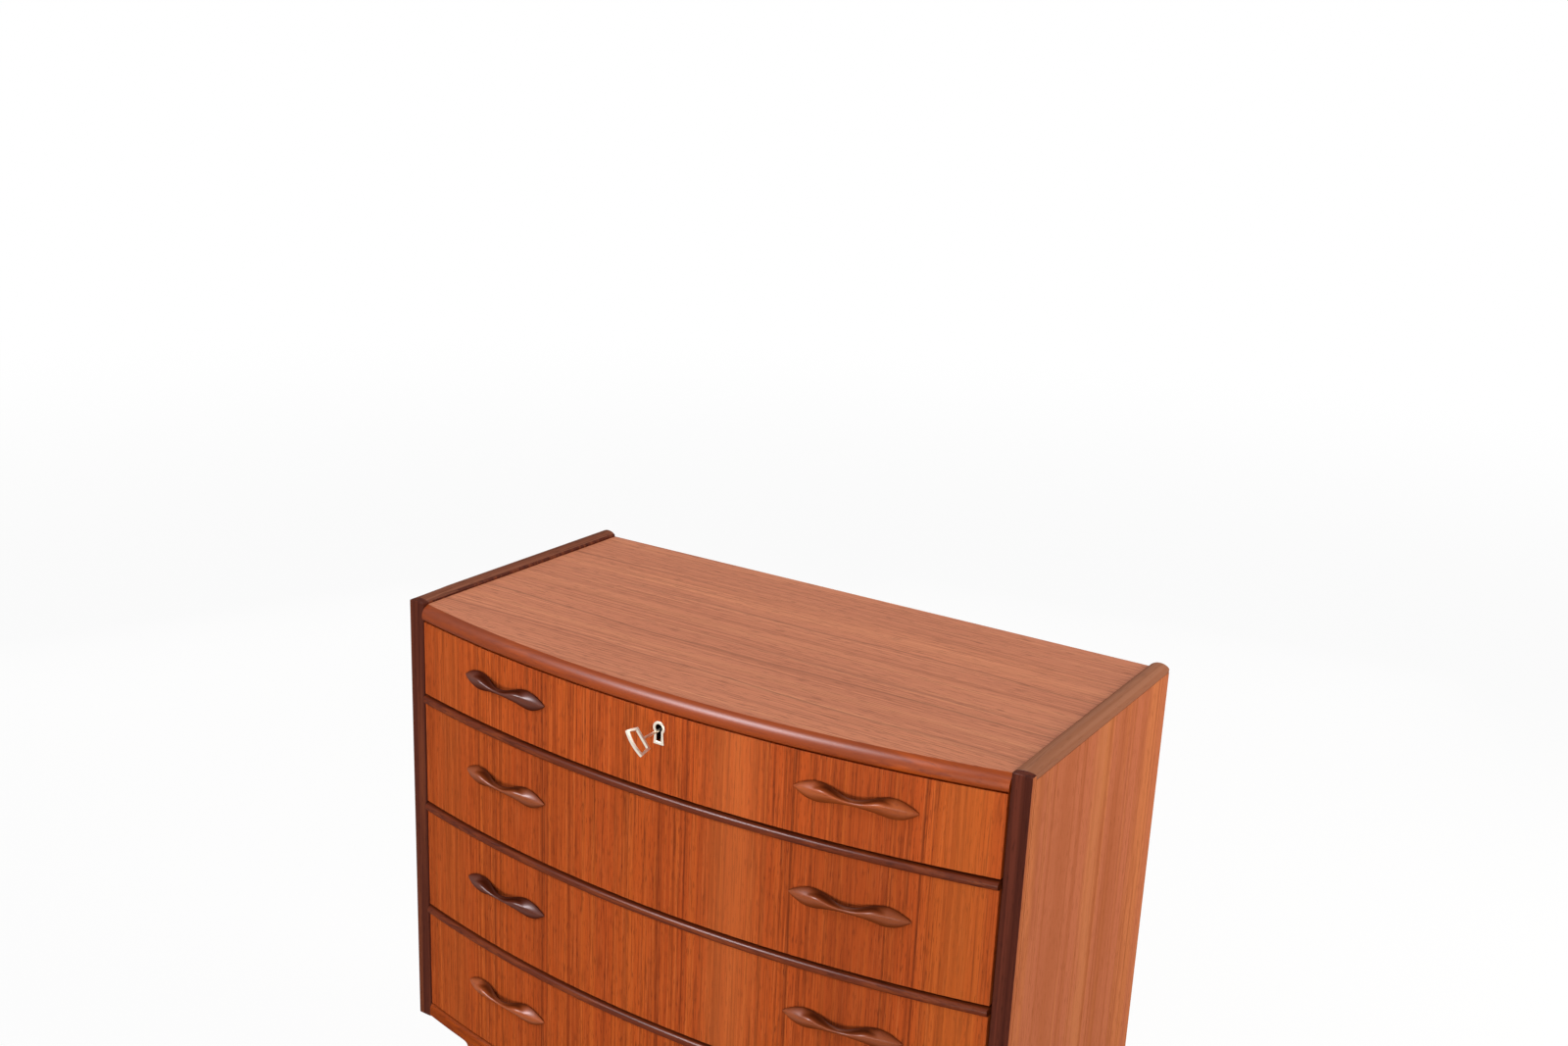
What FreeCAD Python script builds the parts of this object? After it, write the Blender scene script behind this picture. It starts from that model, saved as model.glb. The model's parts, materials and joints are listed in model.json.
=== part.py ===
import FreeCAD, Part
import math
import os
import re

import Sketcher

# A bow front chest of four drawers on tapered legs. It stands on z = 0, the front faces -Y, and the origin is
# at the middle of the floor under it. Lengths are millimetres, names that end in angle are degrees, and names
# that end in share are plain shares.
SIZES = {
    # case
    "case_width": 800,
    "side_depth": 362,
    "side_thickness": 22,
    "top_thickness": 19,
    "bottom_thickness": 19,
    "bow_rise": 45,
    "lipping_rise": 7,
    "lipping_height": 9.5,
    "lipping_crown": 4.5,
    "front_lipping_depth": 10,
    "front_lipping_round": 4,
    "nosing_depth": 24,
    "nosing_overhang": 2.5,
    "nosing_upper_round": 8,
    "nosing_easing": 6,
    "back_thickness": 5,
    "back_inset": 2,
    "back_rebate": 8,
    "tongue_thickness": 7,
    "tongue_length": 8,
    "tongue_setback": 20,
    # base
    "leg_height": 165,
    "leg_inset": 96,
    "leg_front_reach": 14,
    "leg_rear_inset": 16,
    "leg_top_width": 44,
    "leg_top_depth": 36,
    "leg_foot_width": 27,
    "leg_foot_depth": 24,
    "leg_flare": 8,
    "base_rail_height": 42,
    "base_rail_thickness": 20,
    "rail_tenon_height": 24,
    "rail_tenon_thickness": 9,
    "rail_tenon_length": 16,
    # drawers
    "drawer_height": 137,
    "top_drawer_height": 90,
    "top_gap": 1,
    "drawer_gap": 2.5,
    "drawer_side_gap": 1.5,
    "drawer_end_gap": 20,
    "front_thickness": 20,
    "front_lap": 10,
    "drawer_side_thickness": 13,
    "drawer_back_thickness": 12,
    "drawer_back_inset": 8,
    "drawer_back_housing": 4,
    "drawer_back_drop": 8,
    "drawer_bottom_thickness": 5,
    "drawer_groove_depth": 5,
    "drawer_groove_rise": 9,
    "drawer_side_foot": 6,
    "drawer_side_drop": 10,
    "tail_root_share": 0.54,
    "tail_tip_share": 0.62,
    "bead_height": 9.5,
    "bead_seat": 8,
    "bead_nose": 4.5,
    # runners
    "runner_height": 15,
    "runner_proud": 7.5,
    "runner_housing": 3,
    "runner_setback": 34,
    # handles
    "handle_inset": 148.5,
    "handle_rise": 73,
    "top_handle_rise": 51.5,
    "handle_length": 134,
    "handle_stand": 13.5,
    "handle_flank_share": 0.7,
    "handle_lobe_height": 23,
    "handle_lobe_spacing": 84,
    "handle_waist": 6.4,
    "handle_finger_gap": 7.5,
    "handle_finger_width": 60,
    # lock
    "lock_width": 50,
    "lock_height": 46,
    "lock_depth": 11,
    "lock_wall": 1.5,
    "bolt_width": 26,
    "bolt_thickness": 4,
    "bolt_height": 38,
    "bolt_window": 18,
    "bolt_throw": 7,
    "bolt_drawback": 2,
    "mortise_play": 1.5,
    # key and its plate
    "key_drop": 20,
    "key_rest_angle": 40,
    "key_shaft_radius": 1.5,
    "key_tip_seat": 2.5,
    "key_stand": 27.5,
    "key_bow_length": 19,
    "key_bow_inner": 26,
    "key_bow_outer": 31,
    "key_bow_round": 2.5,
    "key_bow_band": 2.6,
    "key_bow_thickness": 3,
    "key_bit_reach": 7.5,
    "key_bit_thickness": 2,
    "plate_rise": 2.5,
    "plate_thickness": 1.6,
    "plate_ring_radius": 7.5,
    "plate_neck_width": 10,
    "plate_foot_width": 13.5,
    "plate_foot_drop": 18.4,
    "keyhole_radius": 4.4,
    "keyhole_slot_width": 6,
    "keyhole_slot_drop": 15.2,
    # clearances
    "seat_play": 0.2,
    "slide_play": 0.3,
    "pin_play": 0.05,
    "overrun": 5,
}

LOWER_DRAWERS = 3
LOWER_TAILS = 3
TOP_TAILS = 2
BEAD_FLATS = 5

# Places and sizes that follow from the driving ones.
DERIVED = {
    "half_width": "case_width / 2",
    "inner_half": "half_width - side_thickness",
    "front_half": "inner_half - drawer_side_gap",
    "bow_radius": "(front_half * front_half + bow_rise * bow_rise) / (2 * bow_rise)",
    "bow_sweep": "2 * asin(half_width / (bow_radius - nosing_depth))",
    "post_front": "(bow_rise + key_stand + key_bow_length - side_depth) / 2",
    "face_front": "post_front - bow_rise",
    "bow_axis": "face_front + bow_radius",
    "case_back": "post_front + side_depth",
    "panel_front": "post_front + front_lipping_depth",
    "back_front": "case_back - back_inset - back_thickness",
    "nosing_radius": "bow_radius + nosing_overhang",
    "board_radius": "nosing_radius - nosing_depth",
    "bottom_top": "leg_height + bottom_thickness",
    "drawer_pitch": "drawer_height + drawer_gap",
    "top_drawer_floor": f"bottom_top + drawer_gap + {LOWER_DRAWERS} * drawer_pitch",
    "top_drawer_top": "top_drawer_floor + top_drawer_height",
    "top_under": "top_drawer_top + top_gap",
    "lipping_peak": "top_under + top_thickness + lipping_rise",
    "lipping_base": "lipping_peak - lipping_height",
    "crown_radius": "(side_thickness * side_thickness / 4 + lipping_crown * lipping_crown) / (2 * lipping_crown)",
    "front_inner_radius": "bow_radius - front_thickness",
    "box_half": "front_half - drawer_side_thickness",
    "box_front": "post_front + front_lap",
    "box_back": "back_front - drawer_end_gap",
    "tail_root": "bow_axis - sqrt(front_inner_radius * front_inner_radius - box_half * box_half)",
    "runner_front": "post_front + runner_setback",
    "runner_slot_depth": "runner_proud - drawer_side_gap + slide_play",
    "leg_middle": "half_width - leg_inset - leg_top_width / 2",
    "leg_knee": "leg_height - base_rail_height",
    "front_leg_face": "post_front - leg_front_reach",
    "rear_leg_face": "case_back - leg_rear_inset",
    "handle_reach": "front_half - handle_inset",
    "handle_angle": "asin(handle_reach / bow_radius)",
    "handle_face": "bow_axis - sqrt(bow_radius * bow_radius - handle_reach * handle_reach)",
    "ridge_radius": "(handle_length * handle_length / 4 + handle_stand * handle_stand) / (2 * handle_stand)",
    "finger_radius": "(handle_finger_width * handle_finger_width / 4 + handle_finger_gap * handle_finger_gap)"
                     " / (2 * handle_finger_gap)",
    "waist_depth": "(handle_lobe_height - handle_waist) / 2",
    "waist_radius": "(handle_lobe_spacing * handle_lobe_spacing / 4 + waist_depth * waist_depth)"
                    " / (2 * waist_depth)",
    "key_height": "top_drawer_top - key_drop",
    "plate_level": "key_height + plate_rise",
    "lock_front": "face_front + front_thickness - lock_depth",
    "bolt_front": "lock_front + lock_wall + seat_play",
    "bolt_back": "bolt_front + bolt_thickness",
    "cavity_back": "bolt_back + seat_play",
    "key_tip": "cavity_back + key_tip_seat",
}

doc = FreeCAD.newDocument("BowFrontChest")
sheet = doc.addObject("Spreadsheet::Sheet", "Sizes")
for row, (alias, number) in enumerate(SIZES.items(), start=1):
    sheet.set(f"A{row}", alias)
    sheet.set(f"B{row}", str(number))
    sheet.setAlias(f"B{row}", alias)
doc.recompute()

nodes = []


def full(text):
    """Write a size expression out in cells of the sheet."""

    def spell(match):
        word = match.group(0)
        if word in DERIVED:
            return f"({full(DERIVED[word])})"
        return f"Sizes.{word}" if word in SIZES else word

    return re.sub(r"[A-Za-z_]\w*", spell, text)


def value(text):
    """The present value of a size expression."""
    number = sheet.evalExpression(full(text))
    return float(getattr(number, "Value", number))


def bind(piece, place, text):
    piece.setExpression(place, full(text))


def node(label, piece):
    """Name a finished sub-part."""
    piece.Label = label
    nodes.append(piece)


def move(piece, x="0", y="0", z="0"):
    for axis, text in zip("xyz", (x, y, z)):
        bind(piece, f"Placement.Base.{axis}", text)
    return piece


def block(x, y, z):
    """A squared piece between two bounds on each axis."""
    piece = doc.addObject("Part::Box", "Block")
    move(piece, x[0], y[0], z[0])
    for side, (low, high) in zip(("Length", "Width", "Height"), (x, y, z)):
        bind(piece, side, f"({high}) - ({low})")
    return piece


def rod(axis, start, radius, length):
    """A round piece or hole that runs from a point along Y or Z."""
    piece = doc.addObject("Part::Cylinder", "Rod")
    if axis == "y":
        piece.Placement = FreeCAD.Placement(FreeCAD.Vector(), FreeCAD.Rotation(FreeCAD.Vector(1, 0, 0), -90))
    bind(piece, "Radius", radius)
    bind(piece, "Height", length)
    return move(piece, *start)


def group(pieces):
    """Separate solids kept together as one piece."""
    piece = doc.addObject("Part::Compound", "Group")
    piece.Links = pieces
    return piece


def cut(base, tools):
    """Take each tool in turn out of a piece."""
    for tool in tools:
        piece = doc.addObject("Part::Cut", "Cut")
        piece.Base = base
        piece.Tool = tool
        base = piece
    return base


def common(base, tool):
    piece = doc.addObject("Part::Common", "Shaped")
    piece.Base = base
    piece.Tool = tool
    return piece


def fused(pieces):
    piece = doc.addObject("Part::MultiFuse", "Fused")
    piece.Shapes = pieces
    return piece


def arc_between(start, end, radius):
    """The short arc from start to end; a positive radius turns left on the way, a negative one right."""
    chord = end - start
    rise = math.sqrt(max(radius * radius - chord.Length ** 2 / 4, 0))
    left = FreeCAD.Vector(-chord.y, chord.x, 0).normalize()
    centre = (start + end) / 2 + left * math.copysign(rise, radius)
    first, last = (start, end) if radius > 0 else (end, start)
    circle = Part.Circle(centre, FreeCAD.Vector(0, 0, 1), abs(radius))
    return Part.ArcOfCircle(circle, *(math.atan2(p.y - centre.y, p.x - centre.x) for p in (first, last)))


def outline(body, role, corners, arcs):
    """A closed sketch through corners, each a pair of size expressions. arcs gives the radius of the edge that
    leaves a corner, with a minus sign in front where that edge turns right."""
    sketch = body.newObject("Sketcher::SketchObject", "Outline")
    plane = next(f for f in body.Origin.OriginFeatures if f.Role == role)
    sketch.AttachmentSupport = [(plane, "")]
    sketch.MapMode = "FlatFace"
    points = [FreeCAD.Vector(value(x), value(y), 0) for x, y in corners]
    ends = []
    for i, point in enumerate(points):
        following = points[(i + 1) % len(points)]
        radius = value(arcs[i]) if i in arcs else None
        edge = arc_between(point, following, radius) if radius else Part.LineSegment(point, following)
        sketch.addGeometry(edge, False)
        ends.append((2, 1) if radius and radius < 0 else (1, 2))
    for i in range(len(points)):
        after = (i + 1) % len(points)
        sketch.addConstraint(Sketcher.Constraint("Coincident", i, ends[i][1], after, ends[after][0]))
    for i, texts in enumerate(corners):
        for kind, axis, text, number in zip(("DistanceX", "DistanceY"), (-2, -1), texts, points[i]):
            if text == "0":
                sketch.addConstraint(Sketcher.Constraint("PointOnObject", i, ends[i][0], axis))
                continue
            at = sketch.addConstraint(Sketcher.Constraint(kind, -1, 1, i, ends[i][0], number))
            sketch.renameConstraint(at, f"{kind}{i}")
            bind(sketch, f"Constraints.{kind}{i}", text)
    for i, text in arcs.items():
        at = sketch.addConstraint(Sketcher.Constraint("Radius", i, abs(value(text))))
        sketch.renameConstraint(at, f"Radius{i}")
        bind(sketch, f"Constraints.Radius{i}", text.lstrip("-"))
    return sketch


def prism(role, corners, arcs, length, backwards=False):
    """An outline on one of the three main planes, given a thickness square to it."""
    body = doc.addObject("PartDesign::Body", "Prism")
    pad = body.newObject("PartDesign::Pad", "Thickness")
    pad.Profile = outline(body, role, corners, arcs)
    pad.Reversed = backwards
    body.Tip = pad
    bind(pad, "Length", length)
    return body


def turned(section, arcs, sweep):
    """A section of distances from the Z axis and heights, turned about that axis to both sides of -Y."""
    body = doc.addObject("PartDesign::Body", "Turned")
    sketch = outline(body, "YZ_Plane", [(f"-({out})" if out != "0" else out, up) for out, up in section], arcs)
    turn = body.newObject("PartDesign::Revolution", "Sweep")
    turn.Profile = sketch
    turn.ReferenceAxis = (sketch, ["V_Axis"])
    turn.Midplane = True
    bind(turn, "Angle", sweep)
    return body


def bowed_strip(section, arcs, half, floor, height):
    """A strip that follows the bow, its section given as distances from the bow's axis and heights above the
    strip's floor, cut to length square to the case."""
    strip = move(turned(section, arcs, "bow_sweep"), "0", "bow_axis", floor)
    span = block(
        (f"-({half})", half),
        ("face_front - nosing_overhang - overrun", "case_back"),
        (f"{floor} - overrun", f"{floor} + {height} + overrun"),
    )
    return common(strip, span)


def bowed_board(half, radius, back, floor, thickness):
    """A level board with three straight edges and a bowed front edge."""
    end = f"bow_axis - sqrt(({radius}) * ({radius}) - ({half}) * ({half}))"
    corners = [(f"-({half})", end), (half, end), (half, back), (f"-({half})", back)]
    return move(prism("XY_Plane", corners, {0: radius}, thickness), z=floor)


def sided(side, text):
    """Mirror a place on X: side is 1 on the right and -1 on the left."""
    return text if side > 0 else f"-({text})"


def span_on(side, near, far):
    """The bounds on X of a piece between two distances from the middle of the chest."""
    return (near, far) if side > 0 else (f"-({far})", f"-({near})")


SIDES = (("left", -1), ("right", 1))
DRAWERS = [(1, "top_drawer_floor", "top_drawer_height", "top_handle_rise", TOP_TAILS)]
for step in range(LOWER_DRAWERS):
    below = LOWER_DRAWERS - 1 - step
    place = f"bottom_top + drawer_gap + {below} * drawer_pitch"
    DRAWERS.append((step + 2, place, "drawer_height", "handle_rise", LOWER_TAILS))


def runner_span(floor, height, play="0"):
    """The bounds on Z of a runner, half way up its drawer's sides."""
    middle = f"{floor} + ({height} + drawer_side_foot - drawer_side_drop) / 2"
    return f"{middle} - runner_height / 2 - {play}", f"{middle} + runner_height / 2 + {play}"


def tongue(floor, thickness, back, play="0"):
    """The tongue that runs through a board's two ends into the sides, or its groove when there is play."""
    end = f"inner_half + tongue_length + {play}"
    middle = f"{floor} + {thickness} / 2"
    return block(
        (f"-({end})", end),
        (f"panel_front + tongue_setback - {play}", f"{back} - tongue_setback + {play}"),
        (f"{middle} - tongue_thickness / 2 - {play}", f"{middle} + tongue_thickness / 2 + {play}"),
    )


def crown_outline(low):
    """The end view of a side's rounded top edge, from a level up to its peak."""
    shoulder = "lipping_peak - lipping_crown"
    return [("0", low), ("side_thickness", low), ("side_thickness", shoulder), ("0", shoulder)]


def make_sides():
    for name, side in SIDES:
        start, end = span_on(side, "inner_half", "half_width")
        panel = block((start, end), ("panel_front", "case_back"), ("leg_height", "lipping_base"))
        tools = [
            block(span_on(side, "inner_half - overrun", "inner_half + back_rebate + seat_play"),
                  ("back_front", "case_back + overrun"), ("leg_height - overrun", "top_under")),
            tongue("top_under", "top_thickness", "case_back", "seat_play"),
            tongue("leg_height", "bottom_thickness", "back_front", "seat_play"),
        ]
        for _, floor, height, _, _ in DRAWERS:
            tools.append(block(span_on(side, "inner_half - overrun", "inner_half + runner_housing"),
                               ("runner_front", "back_front"), runner_span(floor, height)))
        node(f"side_panel_{name}", cut(panel, tools))

        crown = {2: "crown_radius"}
        top = prism("XZ_Plane", crown_outline("lipping_base"), crown, "case_back - panel_front", backwards=True)
        node(f"side_top_lipping_{name}", move(top, start, "panel_front"))

        front = prism("XZ_Plane", crown_outline("leg_height"), crown, "front_lipping_depth", backwards=True)
        easing = "front_lipping_round"
        plan = [
            (easing, "0"), (f"side_thickness - {easing}", "0"), ("side_thickness", easing),
            ("side_thickness", "front_lipping_depth"), ("0", "front_lipping_depth"), ("0", easing),
        ]
        post = prism("XY_Plane", plan, {1: easing, 5: easing}, "lipping_peak + overrun")
        lipping = common(move(front, start, "post_front"), move(post, start, "post_front"))
        node(f"side_front_lipping_{name}", lipping)


def nosing(floor, thickness, upper, arcs):
    """The solid front edge of the top or bottom board. Its lower corner is eased with a flat, and its upper
    corner too unless arcs rounds it."""
    section = [
        ("board_radius", "0"), ("nosing_radius - nosing_easing", "0"), ("nosing_radius", "nosing_easing"),
        ("nosing_radius", f"{thickness} - {upper}"), (f"nosing_radius - {upper}", thickness),
        ("board_radius", thickness),
    ]
    return bowed_strip(section, arcs, "inner_half", floor, thickness)


def make_top_and_bottom():
    top = bowed_board("inner_half", "board_radius", "case_back", "top_under", "top_thickness")
    node("top_panel", fused([top, tongue("top_under", "top_thickness", "case_back")]))
    bolt_side = "bolt_width / 2 + mortise_play"
    mortise = block(
        (f"-({bolt_side})", bolt_side),
        ("bolt_front - mortise_play", "bolt_back + mortise_play"),
        ("top_under - overrun", "top_drawer_top + bolt_throw + mortise_play"),
    )
    top_edge = nosing("top_under", "top_thickness", "nosing_upper_round", {3: "-nosing_upper_round"})
    node("top_nosing", cut(top_edge, [mortise]))

    bottom = bowed_board("inner_half", "board_radius", "back_front", "leg_height", "bottom_thickness")
    node("bottom_panel", fused([bottom, tongue("leg_height", "bottom_thickness", "back_front")]))
    node("bottom_nosing", nosing("leg_height", "bottom_thickness", "nosing_easing", {}))

    back_half = "inner_half + back_rebate"
    node("back_panel", block((f"-({back_half})", back_half), ("back_front", "back_front + back_thickness"),
                             ("leg_height", "top_under")))


def make_runners():
    for name, side in SIDES:
        x = span_on(side, "inner_half - runner_proud", "inner_half + runner_housing")
        for number, floor, height, _, _ in DRAWERS:
            strip = block(x, ("runner_front", "back_front"), runner_span(floor, height))
            node(f"drawer_{number}_runner_{name}", strip)


def leg(facing):
    """A tapered leg about its own middle line, straight where the rail meets it and flared under the case.
    facing is 1 when the leg's straight outer face looks to the front and -1 when it looks to the back."""
    top, foot = "leg_top_width / 2", "leg_foot_width / 2"
    right = [(foot, "0"), (top, "leg_knee"), (top, "leg_height - leg_flare"), (f"{top} + leg_flare", "leg_height")]
    left = [(f"-({x})", z) for x, z in reversed(right)]
    view = prism("XZ_Plane", right + left, {2: "-leg_flare", 4: "-leg_flare"}, "leg_top_depth",
                 backwards=facing > 0)
    sign = "" if facing > 0 else "-"
    profile = [
        ("0", "0"), (f"{sign}leg_foot_depth", "0"), (f"{sign}leg_top_depth", "leg_knee"),
        (f"{sign}leg_top_depth", "leg_height"), ("0", "leg_height"),
    ]
    width = "leg_top_width + 2 * leg_flare + 2 * overrun"
    side_view = move(prism("YZ_Plane", profile, {}, width), f"-({width}) / 2")
    return common(view, side_view)


def rail_tenon(middle, play="0"):
    """The tenon that runs through a base rail into both its legs, or the mortises when there is play."""
    level = "leg_height - base_rail_height / 2"
    return block(
        (f"{middle} - rail_tenon_thickness / 2 - {play}", f"{middle} + rail_tenon_thickness / 2 + {play}"),
        (f"front_leg_face + leg_top_depth - rail_tenon_length - {play}",
         f"rear_leg_face - leg_top_depth + rail_tenon_length + {play}"),
        (f"{level} - rail_tenon_height / 2 - {play}", f"{level} + rail_tenon_height / 2 + {play}"),
    )


def make_base():
    for name, side in SIDES:
        middle = sided(side, "leg_middle")
        for end, facing, face in (("front", 1, "front_leg_face"), ("rear", -1, "rear_leg_face")):
            placed = move(leg(facing), middle, face)
            node(f"leg_{end}_{name}", cut(placed, [rail_tenon(middle, "seat_play")]))
        rail = block(
            (f"{middle} - base_rail_thickness / 2", f"{middle} + base_rail_thickness / 2"),
            ("front_leg_face + leg_top_depth", "rear_leg_face - leg_top_depth"),
            ("leg_knee", "leg_height"),
        )
        node(f"base_rail_{name}", fused([rail, rail_tenon(middle)]))


def handle_form():
    """A carved pull about the middle of its seat: a double cone gives the arched ridge and the two leaf-shaped
    ends, and round cuts draw in the waist, open the finger gap and follow the bowed face behind it."""
    rim = "handle_lobe_height"
    base = f"ridge_radius - handle_flank_share * {rim}"
    section = [("0", f"-{rim}"), (base, f"-{rim}"), ("ridge_radius", "0"), (base, rim), ("0", rim)]
    ridge = move(turned(section, {}, "360"), "0", "ridge_radius - handle_stand")
    floor, tall = f"-({rim} + overrun)", f"2 * {rim} + 2 * overrun"
    front, deep = "-(handle_stand + overrun)", "handle_stand + 2 * overrun"
    waist = "handle_waist / 2 + waist_radius"
    return cut(ridge, [
        rod("z", ("0", "bow_radius", floor), "bow_radius", tall),
        rod("y", ("0", front, waist), "waist_radius", deep),
        rod("y", ("0", front, f"-({waist})"), "waist_radius", deep),
        rod("z", ("0", "finger_radius - handle_finger_gap", floor), "finger_radius", tall),
    ])


def make_handles():
    form = handle_form()
    for number, floor, _, rise, _ in DRAWERS:
        for name, side in SIDES:
            handle = group([form])
            turn = FreeCAD.Rotation(FreeCAD.Vector(0, 0, 1), side * value("handle_angle"))
            handle.Placement = FreeCAD.Placement(FreeCAD.Vector(), turn)
            move(handle, sided(side, "handle_reach"), "handle_face", f"{floor} + {rise}")
            node(f"drawer_{number}_handle_{name}", handle)


def front_section(height, beaded):
    """End view of a drawer front, with the groove for the drawer's bottom and, on a lower drawer, the rebate
    that the bead sits in."""
    low = "drawer_side_foot + drawer_groove_rise - seat_play"
    high = "drawer_side_foot + drawer_groove_rise + drawer_bottom_thickness + seat_play"
    groove = "front_inner_radius + drawer_groove_depth"
    top = [("bow_radius", height)]
    if beaded:
        ledge = f"{height} - bead_height"
        top = [("bow_radius", ledge), ("bow_radius - bead_seat", ledge), ("bow_radius - bead_seat", height)]
    return [("bow_radius", "0")] + top + [
        ("front_inner_radius", height), ("front_inner_radius", high), (groove, high), (groove, low),
        ("front_inner_radius", low), ("front_inner_radius", "0"),
    ]


def bead_section():
    """End view of a half-round bead, with its round face worked as a few flats."""
    section = [("bow_radius - bead_seat", "0")]
    for i in range(BEAD_FLATS + 1):
        turn = math.pi * i / BEAD_FLATS
        rise_share = (1 - math.cos(turn)) / 2
        section.append((f"bow_radius + {math.sin(turn):.4f} * bead_nose", f"{rise_share:.4f} * bead_height"))
    return section + [("bow_radius - bead_seat", "bead_height")]


def keyhole(radius, neck, foot, drop, face, length, level):
    """A round hole or plate at a level, over a skirt, that runs back from a place on Y."""
    corners = [(f"{foot} / 2", f"-({drop})"), (f"{neck} / 2", "0"), (f"-({neck}) / 2", "0"),
               (f"-({foot}) / 2", f"-({drop})")]
    skirt = move(prism("XZ_Plane", corners, {}, length, backwards=True), "0", face, level)
    return fused([skirt, rod("y", ("0", face, level), radius, length)])


def plain_keyhole(face, length):
    """The hole through the plate and the drawer's front. It sits a little high, so that the key hangs low in it."""
    width = "keyhole_slot_width"
    return keyhole("keyhole_radius", width, width, "keyhole_slot_drop", face, length, "plate_level")


def lock_tools():
    """What the lock takes out of the top drawer's front: its pocket and the keyhole."""
    side = "lock_width / 2"
    pocket = block((f"-{side}", side), ("lock_front", "face_front + front_thickness + overrun"),
                   ("top_drawer_top - lock_height", "top_drawer_top + overrun"))
    return [pocket, plain_keyhole("face_front - overrun", "lock_front - face_front + 2 * overrun")]


def side_blank(side, low, high, tails):
    """A drawer side before grooving, with the dovetails that the front's ends are cut to fit."""
    pitch = f"({high} - ({low})) / {tails}"
    profile = [("box_back", low), ("tail_root", low)]
    for i in range(tails):
        middle = f"{low} + {i} * {pitch} + {pitch} / 2"
        root, tip = f"tail_root_share * {pitch} / 2", f"tail_tip_share * {pitch} / 2"
        profile += [("tail_root", f"{middle} - {root}"), ("box_front", f"{middle} - {tip}"),
                    ("box_front", f"{middle} + {tip}"), ("tail_root", f"{middle} + {root}")]
    profile += [("tail_root", high), ("box_back", high)]
    start, _ = span_on(side, "box_half", "front_half")
    return move(prism("YZ_Plane", profile, {}, "drawer_side_thickness"), start)


def make_drawer(number, floor, height, tails):
    name = f"drawer_{number}"
    low, high = f"{floor} + drawer_side_foot", f"{floor} + {height} - drawer_side_drop"
    base = f"{low} + drawer_groove_rise"
    base_top = f"{base} + drawer_bottom_thickness"
    back = "box_back - drawer_back_inset"
    front = bowed_strip(front_section(height, number > 1), {}, "front_half", floor, height)
    front_tools = lock_tools() if number == 1 else []
    for side_name, side in SIDES:
        blank = side_blank(side, low, high, tails)
        front_tools.append(blank)
        floor_groove = block(span_on(side, "box_half - overrun", "box_half + drawer_groove_depth"),
                             ("box_front - overrun", "box_back + overrun"),
                             (f"{base} - seat_play", f"{base_top} + seat_play"))
        back_groove = block(span_on(side, "box_half - overrun", "box_half + drawer_back_housing + seat_play"),
                            (f"{back} - drawer_back_thickness", back), (base_top, f"{high} + overrun"))
        track = block(span_on(side, "front_half - runner_slot_depth", "front_half + overrun"),
                      ("runner_front - slide_play", "box_back + overrun"), runner_span(floor, height, "slide_play"))
        node(f"{name}_side_{side_name}", cut(blank, [floor_groove, back_groove, track]))
    node(f"{name}_front", cut(front, front_tools))
    if number > 1:
        ledge = f"{floor} + {height} - bead_height"
        node(f"{name}_bead", bowed_strip(bead_section(), {}, "front_half", ledge, "bead_height"))
    back_half = "box_half + drawer_back_housing"
    node(f"{name}_back", block((f"-({back_half})", back_half), (f"{back} - drawer_back_thickness", back),
                               (base_top, f"{high} - drawer_back_drop")))
    node(f"{name}_bottom", bowed_board(
        "box_half + drawer_groove_depth - seat_play", "front_inner_radius + drawer_groove_depth - seat_play",
        "box_back", base, "drawer_bottom_thickness"))


def make_lock():
    side = "lock_width / 2"
    case = block((f"-{side}", side), ("lock_front", "face_front + front_thickness"),
                 ("top_drawer_top - lock_height", "top_drawer_top"))
    bolt_side = "bolt_width / 2"
    bolt_low = "top_drawer_top - bolt_height"
    channel = block((f"-({bolt_side} + seat_play)", f"{bolt_side} + seat_play"),
                    ("lock_front + lock_wall", "cavity_back"),
                    (f"{bolt_low} - bolt_drawback - mortise_play", "top_drawer_top + overrun"))
    bearing = rod("y", ("0", "lock_front - overrun", "key_height"), "key_shaft_radius + pin_play",
                  "key_tip - lock_front + pin_play + overrun")
    slot_width = "key_bit_thickness + 2 * seat_play"
    slot = keyhole("key_shaft_radius", slot_width, slot_width, "key_bit_reach + seat_play",
                   "lock_front - overrun", "lock_wall + overrun", "key_height")
    node("lock_case", cut(case, [channel, bearing, slot]))

    plate = block((f"-{bolt_side}", bolt_side), ("bolt_front", "bolt_back"), (bolt_low, "top_drawer_top"))
    reach = "bolt_window / 2"
    window = block((f"-{reach}", reach), ("bolt_front - overrun", "bolt_back + overrun"),
                   (f"key_height - bolt_throw - {reach}", f"key_height + bolt_drawback + {reach}"))
    node("lock_bolt", cut(plate, [window]))


def make_escutcheon():
    plate = keyhole("plate_ring_radius", "plate_neck_width", "plate_foot_width", "plate_foot_drop",
                    "face_front - plate_thickness", "plate_thickness", "plate_level")
    hole = plain_keyhole("face_front - plate_thickness - overrun", "plate_thickness + 2 * overrun")
    node("escutcheon", cut(plate, [hole]))


def key_bow_outline(inset):
    """The key's flat grip seen from the side: narrow towards the lock, with a round outer edge."""
    near = f"-key_stand - {inset}"
    far = f"-(key_stand + key_bow_length - key_bow_round - {inset})"
    short, wide = f"key_bow_inner / 2 - {inset}", f"key_bow_outer / 2 - {inset}"
    sag = f"(({wide}) * ({wide}) + key_bow_round * key_bow_round) / (2 * key_bow_round)"
    corners = [(near, f"-({short})"), (near, short), (far, wide), (far, f"-({wide})")]
    return corners, {2: sag}


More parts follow.
